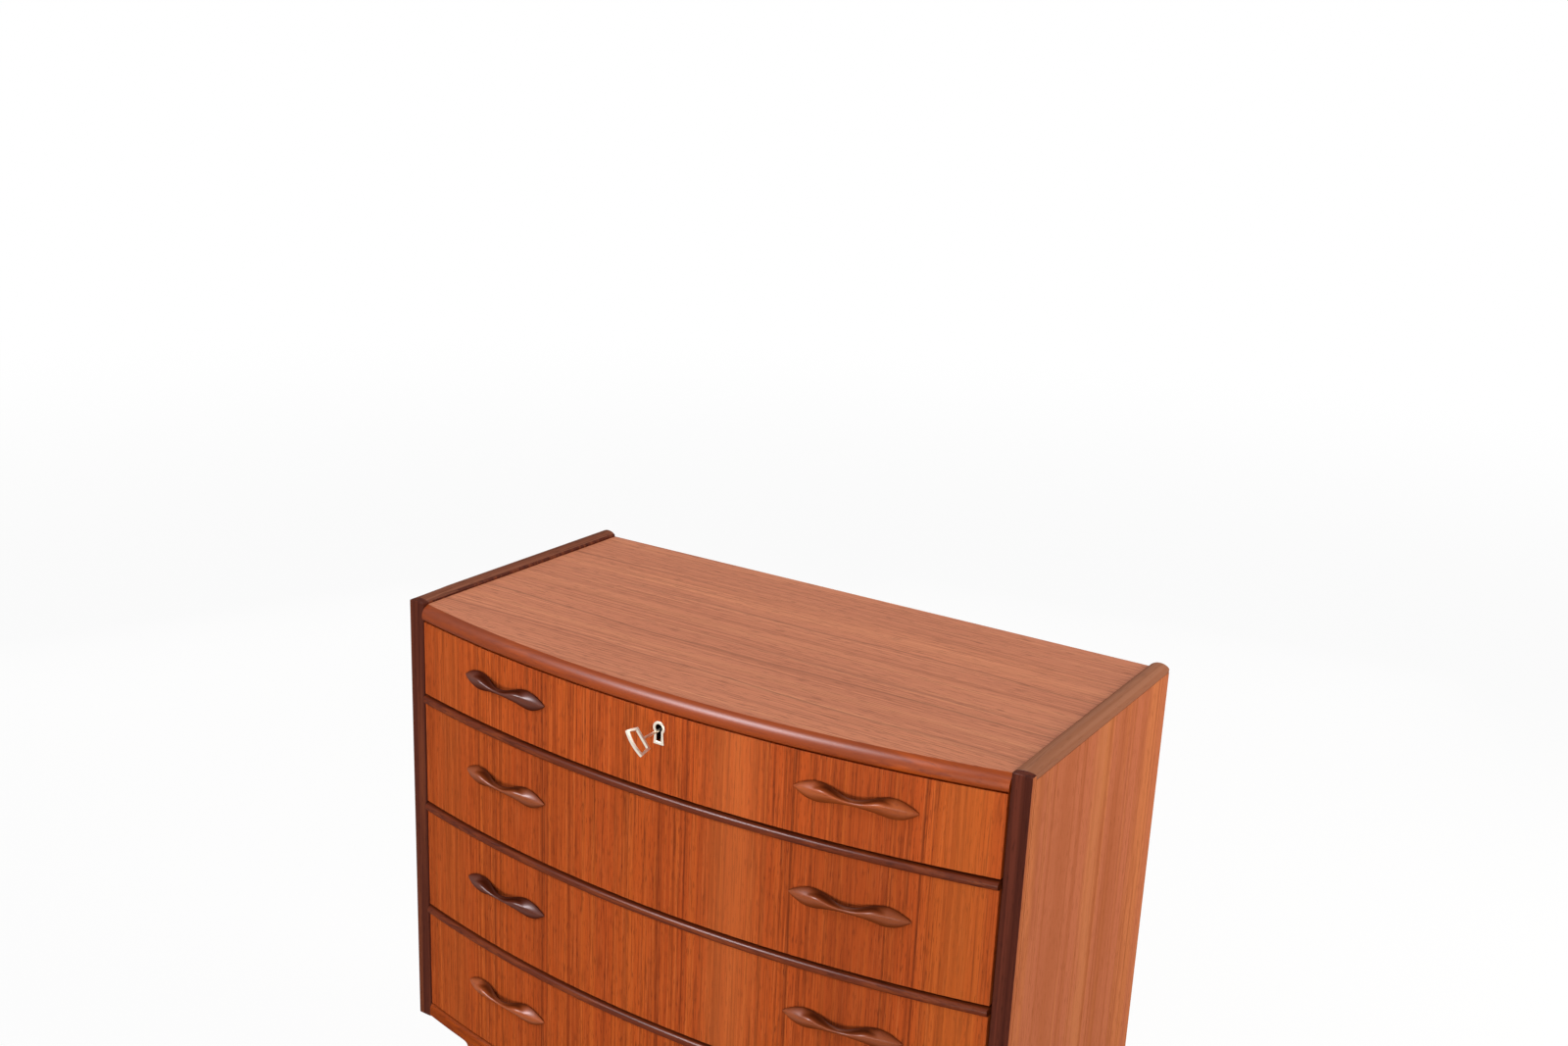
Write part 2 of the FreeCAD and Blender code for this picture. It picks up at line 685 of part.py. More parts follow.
def make_key():
    """The key is drawn upright about its own axis, with the bit down, then turned to where it rests."""
    grip = prism("YZ_Plane", *key_bow_outline("0"), "key_bow_thickness")
    window = prism("YZ_Plane", *key_bow_outline("key_bow_band"), "key_bow_thickness + 2 * overrun")
    frame = cut(move(grip, "-key_bow_thickness / 2"), [move(window, "-key_bow_thickness / 2 - overrun")])
    shaft = rod("y", ("0", "-(key_stand + key_bow_band / 2)", "0"), "key_shaft_radius",
                "key_stand + key_bow_band / 2 + key_tip - face_front")
    bit = block(("-key_bit_thickness / 2", "key_bit_thickness / 2"),
                ("bolt_front - face_front + seat_play", "bolt_back - face_front - seat_play"),
                ("-key_bit_reach", "0"))
    key = group([fused([frame, shaft, bit])])
    turn = FreeCAD.Rotation(FreeCAD.Vector(0, -1, 0), value("key_rest_angle"))
    key.Placement = FreeCAD.Placement(FreeCAD.Vector(), turn)
    node("key", move(key, "0", "face_front", "key_height"))


def check():
    """Every object has to be sound before anything is written."""
    doc.recompute()
    for piece in doc.Objects:
        if {"Invalid", "Error"} & set(piece.State):
            raise RuntimeError(f"{piece.Label} failed: {piece.State}")
    for piece in nodes:
        if piece.Shape.isNull() or not piece.Shape.isValid() or not piece.Shape.Solids:
            raise RuntimeError(f"{piece.Label} has no sound solid")


make_sides()
make_top_and_bottom()
make_runners()
make_base()
for number, floor, height, _, tails in DRAWERS:
    make_drawer(number, floor, height, tails)
make_handles()
make_lock()
make_escutcheon()
make_key()
check()

os.makedirs("parts", exist_ok=True)
for piece in nodes:
    piece.Shape.exportStep(f"parts/{piece.Label}.step")
print(len(nodes), "sub-parts")
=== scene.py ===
"""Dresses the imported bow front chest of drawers: timber pieces, grain, metal, screws and a studio."""

import json
import math

import bmesh
import bpy
from bpy.props import FloatProperty, FloatVectorProperty, PointerProperty
from mathutils import Euler, Matrix, Vector


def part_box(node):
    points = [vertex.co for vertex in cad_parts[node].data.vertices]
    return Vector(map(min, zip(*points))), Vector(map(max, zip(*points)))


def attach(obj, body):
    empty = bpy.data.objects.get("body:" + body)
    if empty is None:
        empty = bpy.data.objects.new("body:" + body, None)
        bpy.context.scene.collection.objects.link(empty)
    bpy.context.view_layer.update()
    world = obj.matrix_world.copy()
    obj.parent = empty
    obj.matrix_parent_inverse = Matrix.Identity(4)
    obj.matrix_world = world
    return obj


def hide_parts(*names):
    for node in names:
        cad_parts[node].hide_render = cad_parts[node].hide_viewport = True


bl_info = {
    "name": "Bow front chest of drawers",
    "version": (1, 0, 0),
    "blender": (4, 5, 0),
    "location": "3D View > Sidebar > Chest",
    "description": "Finishes a bow front chest of drawers around its CAD frame",
    "category": "Object",
}

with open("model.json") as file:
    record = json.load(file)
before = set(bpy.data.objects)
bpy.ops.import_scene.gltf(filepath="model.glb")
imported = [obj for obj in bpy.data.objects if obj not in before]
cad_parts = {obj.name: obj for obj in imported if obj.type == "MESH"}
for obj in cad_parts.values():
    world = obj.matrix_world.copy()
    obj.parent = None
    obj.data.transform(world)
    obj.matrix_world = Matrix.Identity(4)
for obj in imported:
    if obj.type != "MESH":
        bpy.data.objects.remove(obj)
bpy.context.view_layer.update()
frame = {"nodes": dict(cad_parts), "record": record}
NODES = frame["nodes"]
RECORD = frame["record"]

MM = 0.001
SIDES = (("left", -1), ("right", 1))
DRAWERS = (1, 2, 3, 4)
UP = Vector((0, 0, 1))
REARWARD = Vector((0, 1, 0))
# Points closer than the first are one point, and heights closer than the second are one level.
SAME_POINT = 0.001 * MM
SAME_LEVEL = 0.01 * MM

# The bow that every drawer front, bead and nosing follows, read from the frame. A section is turned a little
# past the bow's ends, by what the deepest section and a spare angle need, and then cut square.
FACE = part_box("drawer_1_front")[0].y
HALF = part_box("drawer_1_front")[1].x
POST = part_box("side_front_lipping_left")[0].y
RISE = POST - FACE
BOW = (HALF * HALF + RISE * RISE) / (2 * RISE)
BOW_AXIS = Vector((0, FACE + BOW, 0))
BOW_STEPS = 56
DEEPEST_SECTION = 40 * MM
SPARE_TURN = 0.01
FRONT_THICKNESS = 20 * MM
# The pulls' middles sit this far in from the fronts' ends.
PULL_INSET = 148.5 * MM
PULL_REACH = HALF - PULL_INSET

# Single streaks of the veneers: place across the grain, half a width and how long each one holds along the
# grain, in millimetres (0 for all the way), then a strength and a colour.
FRONT_VEINS = (
    (232, 80, 0, 0.3, "#8C3C1A"), (95, 55, 0, 0.4, "#C86A36"), (344, 44, 0, 0.4, "#C7672A"),
    (-330, 50, 0, 0.2, "#C4642A"),
    (-292, 1.8, 900, 0.6, "#6E2C11"), (-259, 1.6, 900, 0.5, "#6E2C11"), (-236, 1.6, 900, 0.5, "#6E2C11"),
    (-167, 2.2, 0, 0.65, "#5E250F"), (-119, 1.6, 900, 0.5, "#6E2C11"), (-54, 1.6, 900, 0.5, "#6E2C11"),
    (6, 1.6, 900, 0.45, "#6E2C11"), (36, 2.0, 0, 0.6, "#5E250F"), (144, 1.8, 900, 0.55, "#6E2C11"),
    (163, 2.4, 0, 0.65, "#5A240E"), (206, 1.8, 900, 0.55, "#6E2C11"), (268, 1.6, 900, 0.5, "#6E2C11"),
    (300, 2.2, 0, 0.65, "#5A240E"),
)
TOP_VEINS = (
    (148, 9, 700, 0.3, "#9E5C3E"), (146, 2.6, 700, 0.55, "#804830"), (82, 7, 420, 0.3, "#9E5C3E"),
    (84, 2.4, 420, 0.55, "#804830"), (-8, 4, 500, 0.4, "#925640"), (-33, 8, 700, 0.3, "#9E5C3E"),
    (-31, 2.6, 700, 0.55, "#804830"), (-100, 9, 700, 0.3, "#9E5C3E"), (-98, 2.6, 700, 0.55, "#804830"),
    (115, 14, 0, 0.2, "#DC9064"), (30, 18, 0, 0.2, "#DC9064"), (-66, 14, 0, 0.2, "#DC9064"),
)
SIDE_VEINS = (
    (-43, 34, 0, 0.4, "#A85A33"), (105, 30, 0, 0.4, "#A85A33"), (45, 26, 0, 0.4, "#D08450"),
    (-110, 14, 600, 0.4, "#9E5230"), (170, 12, 600, 0.35, "#9E5230"),
)
# The top nosing's darker stretches, placed along it instead.
NOSING_DARK_STRETCHES = ((-370, 330, 0, 0.55, "#6A2A12"), (215, 70, 0, 0.3, "#7A3212"))


def linear(code):
    """The linear colour of an sRGB hex value."""
    parts = [int(code[i:i + 2], 16) / 255 for i in (1, 3, 5)]
    return tuple(p / 12.92 if p <= 0.04045 else ((p + 0.055) / 1.055) ** 2.4 for p in parts) + (1.0,)


def length(name, description, millimetres):
    return FloatProperty(name=name, description=description, default=millimetres * MM, min=0, unit="LENGTH")


def colour(name, description, code):
    return FloatVectorProperty(name=name, description=description, default=linear(code), size=4, min=0, max=1,
                               subtype="COLOR")


class ChestSizes(bpy.types.PropertyGroup):
    """Sizes of the worked edges, the beads and the screws."""

    edge_easing: length("Edge easing", "Round left on the edges of the drawer fronts and lippings", 0.8)
    leg_easing: length("Leg easing", "Round on the legs' edges", 2.5)
    metal_easing: length("Metal easing", "Round on the key and its plate", 0.8)
    nosing_round: length("Nosing round", "Round on the upper front edge of the top", 13)
    nosing_easing: length("Nosing easing", "Round on the lower front edge of the top and on the bottom", 5.5)
    post_round: length("Post round", "Round on the front lippings' upright edges", 4)
    bead_nose: length("Bead nose", "How far a bead stands in front of its drawer", 4.5)
    bead_seat: length("Bead seat", "How deep a bead is let into its drawer front", 8)
    screw_radius: length("Screw radius", "Half the width of a screw's head", 3.4)
    screw_rise: length("Screw rise", "How far a screw's head stands up", 1.2)


class ChestColours(bpy.types.PropertyGroup):
    """Colours of the timbers, the metals and the floor."""

    veneer: colour("Front veneer", "Body colour of the drawer fronts", "#B04B1D")
    top: colour("Top veneer", "Body colour of the top", "#C67957")
    side: colour("Side veneer", "Body colour of the sides", "#C06E4B")
    solid: colour("Solid teak", "Body colour of the nosings, legs and rails", "#983F0E")
    dark: colour("Front lipping", "Body colour of the lippings down the front edges", "#54261A")
    crown: colour("Left top lipping", "Body colour of the crowned lipping on the left", "#87513B")
    crown_pale: colour("Right top lipping", "Body colour of the bleached lipping on the right", "#9C6448")
    bead: colour("Beads", "Body colour of the beads between the drawers", "#682B14")
    pull: colour("Carved pulls", "Body colour of the pulls", "#A85022")
    pull_dark: colour("Darker pulls", "Body colour of the pulls cut from darker wood", "#5A2412")
    beech: colour("Beech", "Body colour of the drawer boxes and runners", "#CFA880")
    plywood: colour("Plywood", "Body colour of the drawer bottoms, the back and the bottom", "#C8A074")
    nickel: colour("Nickel", "Colour of the key and its plate", "#DED4C4")
    steel: colour("Steel", "Colour of the lock and the screws", "#8C8984")
    floor: colour("Floor", "Colour of the studio floor", "#F2F1EF")


# Settings that several nodes share.
SMOOTH_STEP = {"interpolation_type": "SMOOTHSTEP"}
COLOUR_MIX = {"data_type": "RGBA"}
LARGER = {"operation": "MAXIMUM"}
# Noise lies between these levels for the most part; seeds keep the layers of one timber apart.
NOISE_LOW, NOISE_HIGH = 0.3, 0.7
FINE_DETAIL = 4.0
FIRST_SEED, LAYER_SEED, SWAY_SEED, VEIN_SEED = 1.3, 3.7, 9.1, 5.3
# A streak sways in waves this wide and long, in millimetres; where it fades, between two levels of another
# noise, a part of it stays.
SWAY_WIDTH, SWAY_RUN = 90, 420
FADE_WIDTH = 500
FADE_LOW, FADE_HIGH = 0.35, 0.6
FADE_LEAST = 0.25
# Wood under its film of oil: how rough it is, how deep its pores are and how much of them shows, and how
# strongly the film bends light. Where a pull's painted shade reaches this level, hardly any film is left.
BARE_ROUGHNESS = 0.6
PORE_DEPTH, PORE_RELIEF = 0.1 * MM, 0.15
FILM_IOR = 1.8
SHADE_FILM_LEVEL, SHADE_FILM_SHINE = 0.6, 0.02
# Fine marks on metal: how many times as long as wide, how deep and how much of that shows.
MARK_STRETCH = 6
MARK_DEPTH, MARK_RELIEF = 0.02 * MM, 0.1


def add(tree, kind, options=None, inputs=None):
    """Add a node to a tree, with its options, and its sockets set to values or linked to other sockets."""
    node = tree.nodes.new(f"ShaderNode{kind}")
    for key, choice in (options or {}).items():
        setattr(node, key, choice)
    for key, source in (inputs or {}).items():
        if isinstance(source, bpy.types.NodeSocket):
            tree.links.new(source, node.inputs[key])
        else:
            node.inputs[key].default_value = source
    return node


def fresh(name):
    """An empty material with its output."""
    material = bpy.data.materials.new(name)
    material.use_nodes = True
    tree = material.node_tree
    tree.nodes.clear()
    return material, tree, add(tree, "OutputMaterial")


def grain(tree, place, fibre, width, run, flat=None, detail=2.0, seed=0.0):
    """Noise drawn out along the fibre: width across it and run along it, both in millimetres."""
    scale = [1 / (width * MM)] * 3
    scale[fibre] = 1 / (run * MM)
    if flat is not None:
        scale[flat] = 0.0
    spread = add(tree, "Mapping", inputs={"Vector": place, "Scale": scale, "Location": (seed, seed, seed)})
    noise = add(tree, "TexNoise", inputs={"Vector": spread.outputs[0], "Scale": 1.0, "Detail": detail})
    return noise.outputs[0]


def streaked(tree, tone, place, across, wander, veins):
    """Draw single streaks over a tone, set out along the axis across and swaying by the wander in mm."""
    lengthways = 2 if across == 0 else 0
    split = add(tree, "SeparateXYZ", inputs={0: place}).outputs
    sway = grain(tree, place, lengthways, SWAY_WIDTH, SWAY_RUN, seed=SWAY_SEED)
    shift = add(tree, "MapRange", inputs={
        "Value": sway, "From Min": NOISE_LOW, "From Max": NOISE_HIGH,
        "To Min": -wander * MM, "To Max": wander * MM}).outputs[0]
    here = add(tree, "Math", {"operation": "ADD"}, {0: split[across], 1: shift}).outputs[0]
    for i, (spot, half, hold, strength, tint) in enumerate(veins):
        off = add(tree, "Math", {"operation": "SUBTRACT"}, {0: here, 1: spot * MM}).outputs[0]
        far = add(tree, "Math", {"operation": "ABSOLUTE"}, {0: off}).outputs[0]
        near = add(tree, "MapRange", SMOOTH_STEP, {
            "Value": far, "From Max": half * MM, "To Min": strength, "To Max": 0.0}).outputs[0]
        if hold:
            along = grain(tree, place, lengthways, FADE_WIDTH, hold, detail=0.0, seed=VEIN_SEED * i)
            held = add(tree, "MapRange", SMOOTH_STEP, {
                "Value": along, "From Min": FADE_LOW, "From Max": FADE_HIGH, "To Min": FADE_LEAST}).outputs[0]
            near = add(tree, "Math", {"operation": "MULTIPLY"}, {0: near, 1: held}).outputs[0]
        tone = add(tree, "Mix", COLOUR_MIX, {0: near, 6: tone, 7: linear(tint)}).outputs[2]
    return tone


def timber(name, body, layers, fibre, haze, shine, flat=None, across=0, wander=0, veins=(), shade=1.0,
           painted_shade_colour=None):
    """A timber under a thin film of oil, whose roughness is the haze and whose strength is the shine.

    Layers go from wide bands to fine lines. Each has a colour, a width and a run in millimetres, the two
    noise levels between which it comes up, and its strength. Fibre is the axis of the grain, and flat the one
    through the leaf. Veins are single streaks, and the shade makes the whole leaf lighter or darker. The last
    argument is the colour of the shade painted into a pull's finger hollow, along its rims and over its back.
    """
    material, tree, output = fresh(name)
    place = add(tree, "TexCoord").outputs["Object"]
    tone = body
    for i, (tint, width, run, low, high, strength) in enumerate(layers):
        noise = grain(tree, place, fibre, width, run, flat, FINE_DETAIL, LAYER_SEED * i + FIRST_SEED)
        lines = add(tree, "MapRange", SMOOTH_STEP, {
            "Value": noise, "From Min": low, "From Max": high, "To Max": strength}).outputs[0]
        tone = add(tree, "Mix", COLOUR_MIX, {0: lines, 6: tone, 7: linear(tint)}).outputs[2]
    if veins:
        tone = streaked(tree, tone, place, across, wander, veins)
    if shade != 1.0:
        tone = add(tree, "HueSaturation", inputs={"Value": shade, "Color": tone}).outputs[0]
    # A pull's painted shade darkens its colour and thins the film where it lies.
    if painted_shade_colour:
        painted_shade = add(tree, "Attribute", {"attribute_name": "painted_shade"}).outputs["Fac"]
        tone = add(tree, "Mix", COLOUR_MIX, {0: painted_shade, 6: tone, 7: linear(painted_shade_colour)}).outputs[2]
        shine = add(tree, "MapRange", inputs={
            "Value": painted_shade, "From Max": SHADE_FILM_LEVEL, "To Min": shine, "To Max": SHADE_FILM_SHINE}).outputs[0]
    # The last layer, the finest lines, is sunk into the wood.
    relief = add(tree, "Bump", {"invert": True}, {
        "Strength": PORE_RELIEF, "Distance": PORE_DEPTH, "Height": lines})
    shader = add(tree, "BsdfPrincipled", inputs={
        "Base Color": tone, "Roughness": BARE_ROUGHNESS, "Specular IOR Level": 0.0,
        "Normal": relief.outputs[0], "Coat Weight": shine, "Coat Roughness": haze, "Coat IOR": FILM_IOR,
    })
    tree.links.new(shader.outputs[0], output.inputs[0])
    return material


def metal(name, body, rough, spread, width):
    """A plated or rolled metal: its colour, roughness, how much that varies and its marks' width in mm."""
    material, tree, output = fresh(name)
    place = add(tree, "TexCoord").outputs["Object"]
    marks = grain(tree, place, 2, width, width * MARK_STRETCH, detail=FINE_DETAIL)
    varied = add(tree, "MapRange", inputs={
        "Value": marks, "From Min": NOISE_LOW, "From Max": NOISE_HIGH,
        "To Min": rough, "To Max": rough + spread}).outputs[0]
    relief = add(tree, "Bump", inputs={"Strength": MARK_RELIEF, "Distance": MARK_DEPTH, "Height": marks})
    shader = add(tree, "BsdfPrincipled", inputs={
        "Base Color": body, "Metallic": 1.0, "Roughness": varied, "Normal": relief.outputs[0],
    })
    tree.links.new(shader.outputs[0], output.inputs[0])
    return material


def finishes():
    """Every finish of the chest, made once and kept by name."""
    tones = bpy.context.scene.chest_colours
    made = {}

    # Teak veneer on the drawer fronts: quarter cut, oiled. The eye sees close straight upright lines that
    # run on from drawer to drawer, warm orange between them, a few dark veins where the leaves meet, and
    # short dark pores. Lines and pores are drawn 1.4 mm wide and more, coarser than real ones, so that they
    # show. The top drawer's front is drawn a little lighter than the others.
    for key, shade in (("front_upper", 1.1), ("front", 1.0)):
        made[key] = timber(f"teak_veneer_{key}", tuple(tones.veneer), [
            ("#BC551F", 60, 1800, 0.45, 0.62, 0.5),
            ("#943E17", 17, 1600, 0.50, 0.66, 0.5),
            ("#C65F24", 9, 1400, 0.50, 0.66, 0.45),
            ("#7C3213", 6, 1100, 0.52, 0.66, 0.5),
            ("#CE6A2C", 3.6, 700, 0.53, 0.68, 0.35),
            ("#6E2C11", 2.6, 420, 0.54, 0.66, 0.5),
            ("#CC6C36", 1.7, 70, 0.52, 0.66, 0.25),
            ("#5E260F", 1.6, 60, 0.53, 0.66, 0.5),
            ("#50200E", 1.4, 14, 0.54, 0.68, 0.5),
        ], fibre=2, flat=1, haze=0.52, shine=0.06, across=0, wander=1.5, veins=FRONT_VEINS, shade=shade)

    # Teak veneer on the top: the same cut laid left to right, tan, with long soft dark streaks, low sheen.
    made["top"] = timber("teak_veneer_top", tuple(tones.top), [
        ("#D8875E", 46, 1600, 0.45, 0.64, 0.4),
        ("#B06644", 14, 1300, 0.53, 0.70, 0.3),
        ("#9E593A", 4.2, 800, 0.52, 0.68, 0.4),
        ("#E2986C", 2.8, 400, 0.53, 0.68, 0.45),
        ("#945236", 2.0, 300, 0.52, 0.67, 0.55),
        ("#864A30", 1.7, 20, 0.53, 0.68, 0.6),
    ], fibre=0, flat=2, haze=0.46, shine=0.26, across=1, wander=7, veins=TOP_VEINS)

    # Teak veneer on the sides: paler and plainer, upright grain in wide soft bands.
    made["side"] = timber("teak_veneer_side", tuple(tones.side), [
        ("#D07C48", 34, 1500, 0.45, 0.64, 0.6),
        ("#A65832", 14, 1300, 0.52, 0.68, 0.5),
        ("#9C502E", 3.6, 600, 0.52, 0.68, 0.45),
        ("#D48450", 2.8, 400, 0.54, 0.68, 0.35),
        ("#8A4626", 1.8, 16, 0.54, 0.68, 0.45),
    ], fibre=2, flat=0, haze=0.62, shine=0.05, across=1, wander=9, veins=SIDE_VEINS)

    # Solid teak of the nosings and rails: redder, with stripes that run out along the bow and a soft gloss.
    # The top one is darker at its left end; the low ones are darker and duller all along.
    for key, haze, shine, shade, veins in (
        ("solid", 0.38, 0.2, 1.0, NOSING_DARK_STRETCHES), ("solid_low", 0.42, 0.08, 0.9, ()),
    ):
        made[key] = timber(f"teak_{key}", tuple(tones.solid), [
            ("#B85012", 9, 700, 0.46, 0.66, 0.6),
            ("#762A0E", 4, 800, 0.52, 0.70, 0.5),
            ("#5E2208", 1.8, 60, 0.55, 0.70, 0.25),
        ], fibre=0, haze=haze, shine=shine, across=0, wander=40, veins=veins, shade=shade)

    # Solid teak of the legs: the same wood stood upright, striped, with a soft gloss.
    made["upright"] = timber("teak_solid_upright", tuple(tones.solid), [
        ("#A85424", 12, 700, 0.46, 0.64, 0.7),
        ("#682C15", 5, 500, 0.53, 0.68, 0.6),
        ("#56220F", 1.8, 18, 0.56, 0.68, 0.4),
    ], fibre=2, haze=0.37, shine=0.12)

    # Dark stained teak of the lippings and beads: deep maroon brown, close grain, soft gloss. The right top
    # lipping is bleached, and its dark lines are faint.
    for key, fibre, body, light, dark_lines, shine in (
        ("bead", 0, tones.bead, "#843C1A", 1.0, 0.11),
        ("lipping_front_left", 2, tones.dark, "#7C4028", 1.0, 0.06),
        ("lipping_front_right", 2, tones.dark, "#6A3224", 1.0, 0.06),
        ("lipping_top_left", 1, tones.crown, "#723C28", 1.0, 0.06),
        ("lipping_top_right", 1, tones.crown_pale, "#A87054", 0.3, 0.06),
    ):
        made[key] = timber(f"teak_dark_{key}", tuple(body), [
            (light, 7, 600, 0.46, 0.64, 0.7),
            ("#3C1710", 3.5, 500, 0.53, 0.68, 0.55 * dark_lines),
            ("#2A0F0A", 1.7, 18, 0.56, 0.68, 0.4 * dark_lines),
        ], fibre=fibre, haze=0.28, shine=shine)

    # Carved pulls: solid teak rubbed smooth, light to dark brown, with a clear gloss on the ridges. Shade is
    # painted into the finger hollow above the waist, along both rims and over the back.
    for key, body, light, shade in (
        ("pull", tones.pull, "#BE622A", 1.0), ("pull_mid", tones.pull, "#A8562C", 0.74),
        ("pull_dark", tones.pull_dark, "#6E341E", 1.0),
    ):
        made[key] = timber(f"teak_carved_{key}", tuple(body), [
            (light, 6, 200, 0.46, 0.64, 0.4),
            ("#5A2A18", 2.6, 160, 0.53, 0.70, 0.25),
            ("#40190E", 1.5, 12, 0.56, 0.68, 0.15),
        ], fibre=0, haze=0.38, shine=0.28, shade=shade, painted_shade_colour="#3C180C")

    # Wood inside the keyhole: painted near black as the shade in the hole, no gloss.
    made["bore"] = timber("teak_bare_bore", linear("#120806"), [
        ("#1E0E08", 2.0, 12, 0.5, 0.7, 0.5),
    ], fibre=2, haze=0.44, shine=0.0)

    # Beech of the drawer boxes and runners: pale, plain, with short flecks along the grain.
    for key, fibre in (("beech_deep", 1), ("beech_wide", 0)):
        made[key] = timber(key, tuple(tones.beech), [
            ("#D9BB90", 30, 700, 0.45, 0.66, 0.6),
            ("#B08A5C", 6, 300, 0.54, 0.72, 0.5),
            ("#8E683F", 1.4, 8, 0.58, 0.7, 0.5),
        ], fibre=fibre, haze=0.57, shine=0.1)

    # Rotary cut birch plywood of the drawer bottoms, the back and the bottom: broad soft figure, almost matt.
    made["plywood"] = timber("birch_plywood", tuple(tones.plywood), [
        ("#D0B085", 70, 420, 0.44, 0.66, 0.7),
        ("#A57F52", 14, 260, 0.53, 0.72, 0.5),
        ("#8A6640", 2.0, 12, 0.58, 0.72, 0.4),
    ], fibre=0, haze=0.62, shine=0.08)

    # Nickel plate on brass, polished by use: pale and warm, soft reflections. Rolled steel: grey, duller.
    made["nickel"] = metal("nickel_plate", tuple(tones.nickel), rough=0.3, spread=0.12, width=1.5)
    made["steel"] = metal("rolled_steel", tuple(tones.steel), rough=0.34, spread=0.2, width=2.0)
    return made


FINISH = {}
# Edges that turn by more than this are eased.
EASED_TURN = math.radians(38)
# A copy of a CAD node has points this close merged, and faces this close to flat joined again.
COPY_MERGE = 0.005 * MM
COPY_FLAT = math.radians(0.4)


def piece(bm, name, body, finish, replaced=(), sharp=40):
    """Close a bmesh into a named piece that rides on a body; edges past the sharp angle stay crisp."""
    bmesh.ops.remove_doubles(bm, verts=bm.verts, dist=SAME_POINT)
    bmesh.ops.recalc_face_normals(bm, faces=bm.faces)
    mesh = bpy.data.meshes.new(name)
    bm.to_mesh(mesh)
    bm.free()
    mesh.shade_smooth()
    mesh.set_sharp_from_angle(angle=math.radians(sharp))
    mesh.materials.append(FINISH[finish])
    made = bpy.data.objects.new(name, mesh)
    bpy.context.scene.collection.objects.link(made)
    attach(made, body)
    if replaced:
        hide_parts(*replaced)
    return made


def eased(made, width, segments):
    """Round a piece's worked edges with a live bevel."""
    bevel = made.modifiers.new("Easing", "BEVEL")
    bevel.width = width
    bevel.segments = segments
    bevel.limit_method = "ANGLE"
    bevel.angle_limit = EASED_TURN
    bevel.harden_normals = True


def copy_of(node):
    """A merged copy of a CAD node's mesh, with its flat faces whole again."""
    bm = bmesh.new()
    bm.from_mesh(NODES[node].data)
    bmesh.ops.remove_doubles(bm, verts=bm.verts, dist=COPY_MERGE)
    bmesh.ops.dissolve_limit(bm, angle_limit=COPY_FLAT, verts=bm.verts, edges=bm.edges)
    return bm


def dress(node, finish):
    """Give a CAD node a finish."""
    holder = NODES[node]
    if not holder.material_slots:
        holder.data.materials.append(FINISH[finish])
    for slot in holder.material_slots:
        slot.material = FINISH[finish]


def body_of(node):
    return next(b for b, members in RECORD["behaviour"]["bodies"].items() if node in members)


def points_in(geom):
    """The vertices among what a bmesh operator gives back."""
    return [part for part in geom if isinstance(part, bmesh.types.BMVert)]


def whole(bm):
    """All that a bmesh holds, as the cuts take it."""
    return bm.verts[:] + bm.edges[:] + bm.faces[:]


def lies_at(part, level):
    """Whether all of an edge or a face lies at a height."""
    return all(abs(v.co.z - level) < SAME_LEVEL for v in part.verts)


def rounded(bm, edges, width, segments):
    """Work a round along edges of a bmesh."""
    bmesh.ops.bevel(bm, geom=edges, offset=width, offset_type="OFFSET", segments=segments, profile=0.5,
                    affect="EDGES", material=-1)


def along_bow(bm, half):
    """Turn a section, drawn on the plane x = 0, about the bow's axis and cut it square at each end."""
    reach = math.asin(half / (BOW - DEEPEST_SECTION)) + SPARE_TURN
    bmesh.ops.rotate(bm, cent=BOW_AXIS, matrix=Matrix.Rotation(-reach, 3, "Z"), verts=bm.verts)
    section = bm.verts[:] + bm.edges[:]
    bmesh.ops.spin(bm, geom=section, cent=BOW_AXIS, axis=UP, angle=2 * reach, steps=BOW_STEPS,
                   use_merge=False)
    for side in (-1, 1):
        cut = bmesh.ops.bisect_plane(bm, geom=whole(bm), plane_co=(side * half, 0, 0), plane_no=(side, 0, 0),
                                     clear_outer=True)
        rim = [e for e in cut["geom_cut"] if isinstance(e, bmesh.types.BMEdge)]
        bmesh.ops.edgeloop_fill(bm, edges=rim)
    bmesh.ops.recalc_face_normals(bm, faces=bm.faces)


class CHEST_OT_boards(bpy.types.Operator):
    """Finish the plain boards that keep their CAD shape; the top gets an edge strip at the back"""

    bl_idname = "chest.boards"
    bl_label = "Boards"

    # A face that looks this squarely backwards is the back edge.
    back_facing = 0.9

    def execute(self, context):
        FINISH.update(finishes())
        bm = copy_of("top_panel")
        for face in bm.faces:
            face.material_index = int(face.normal.y > self.back_facing)
        top = piece(bm, "top_board", body_of("top_panel"), "top", ["top_panel"])
        top.data.materials.append(FINISH["solid_low"])
        dress("bottom_panel", "plywood")
        dress("back_panel", "plywood")
        for name, _ in SIDES:
            dress(f"side_panel_{name}", "side")
            for number in DRAWERS:
                dress(f"drawer_{number}_side_{name}", "beech_deep")
                dress(f"drawer_{number}_runner_{name}", "beech_deep")
        for number in DRAWERS:
            dress(f"drawer_{number}_back", "beech_wide")
            dress(f"drawer_{number}_bottom", "plywood")
        dress("lock_case", "steel")
        dress("lock_bolt", "steel")
        return {"FINISHED"}


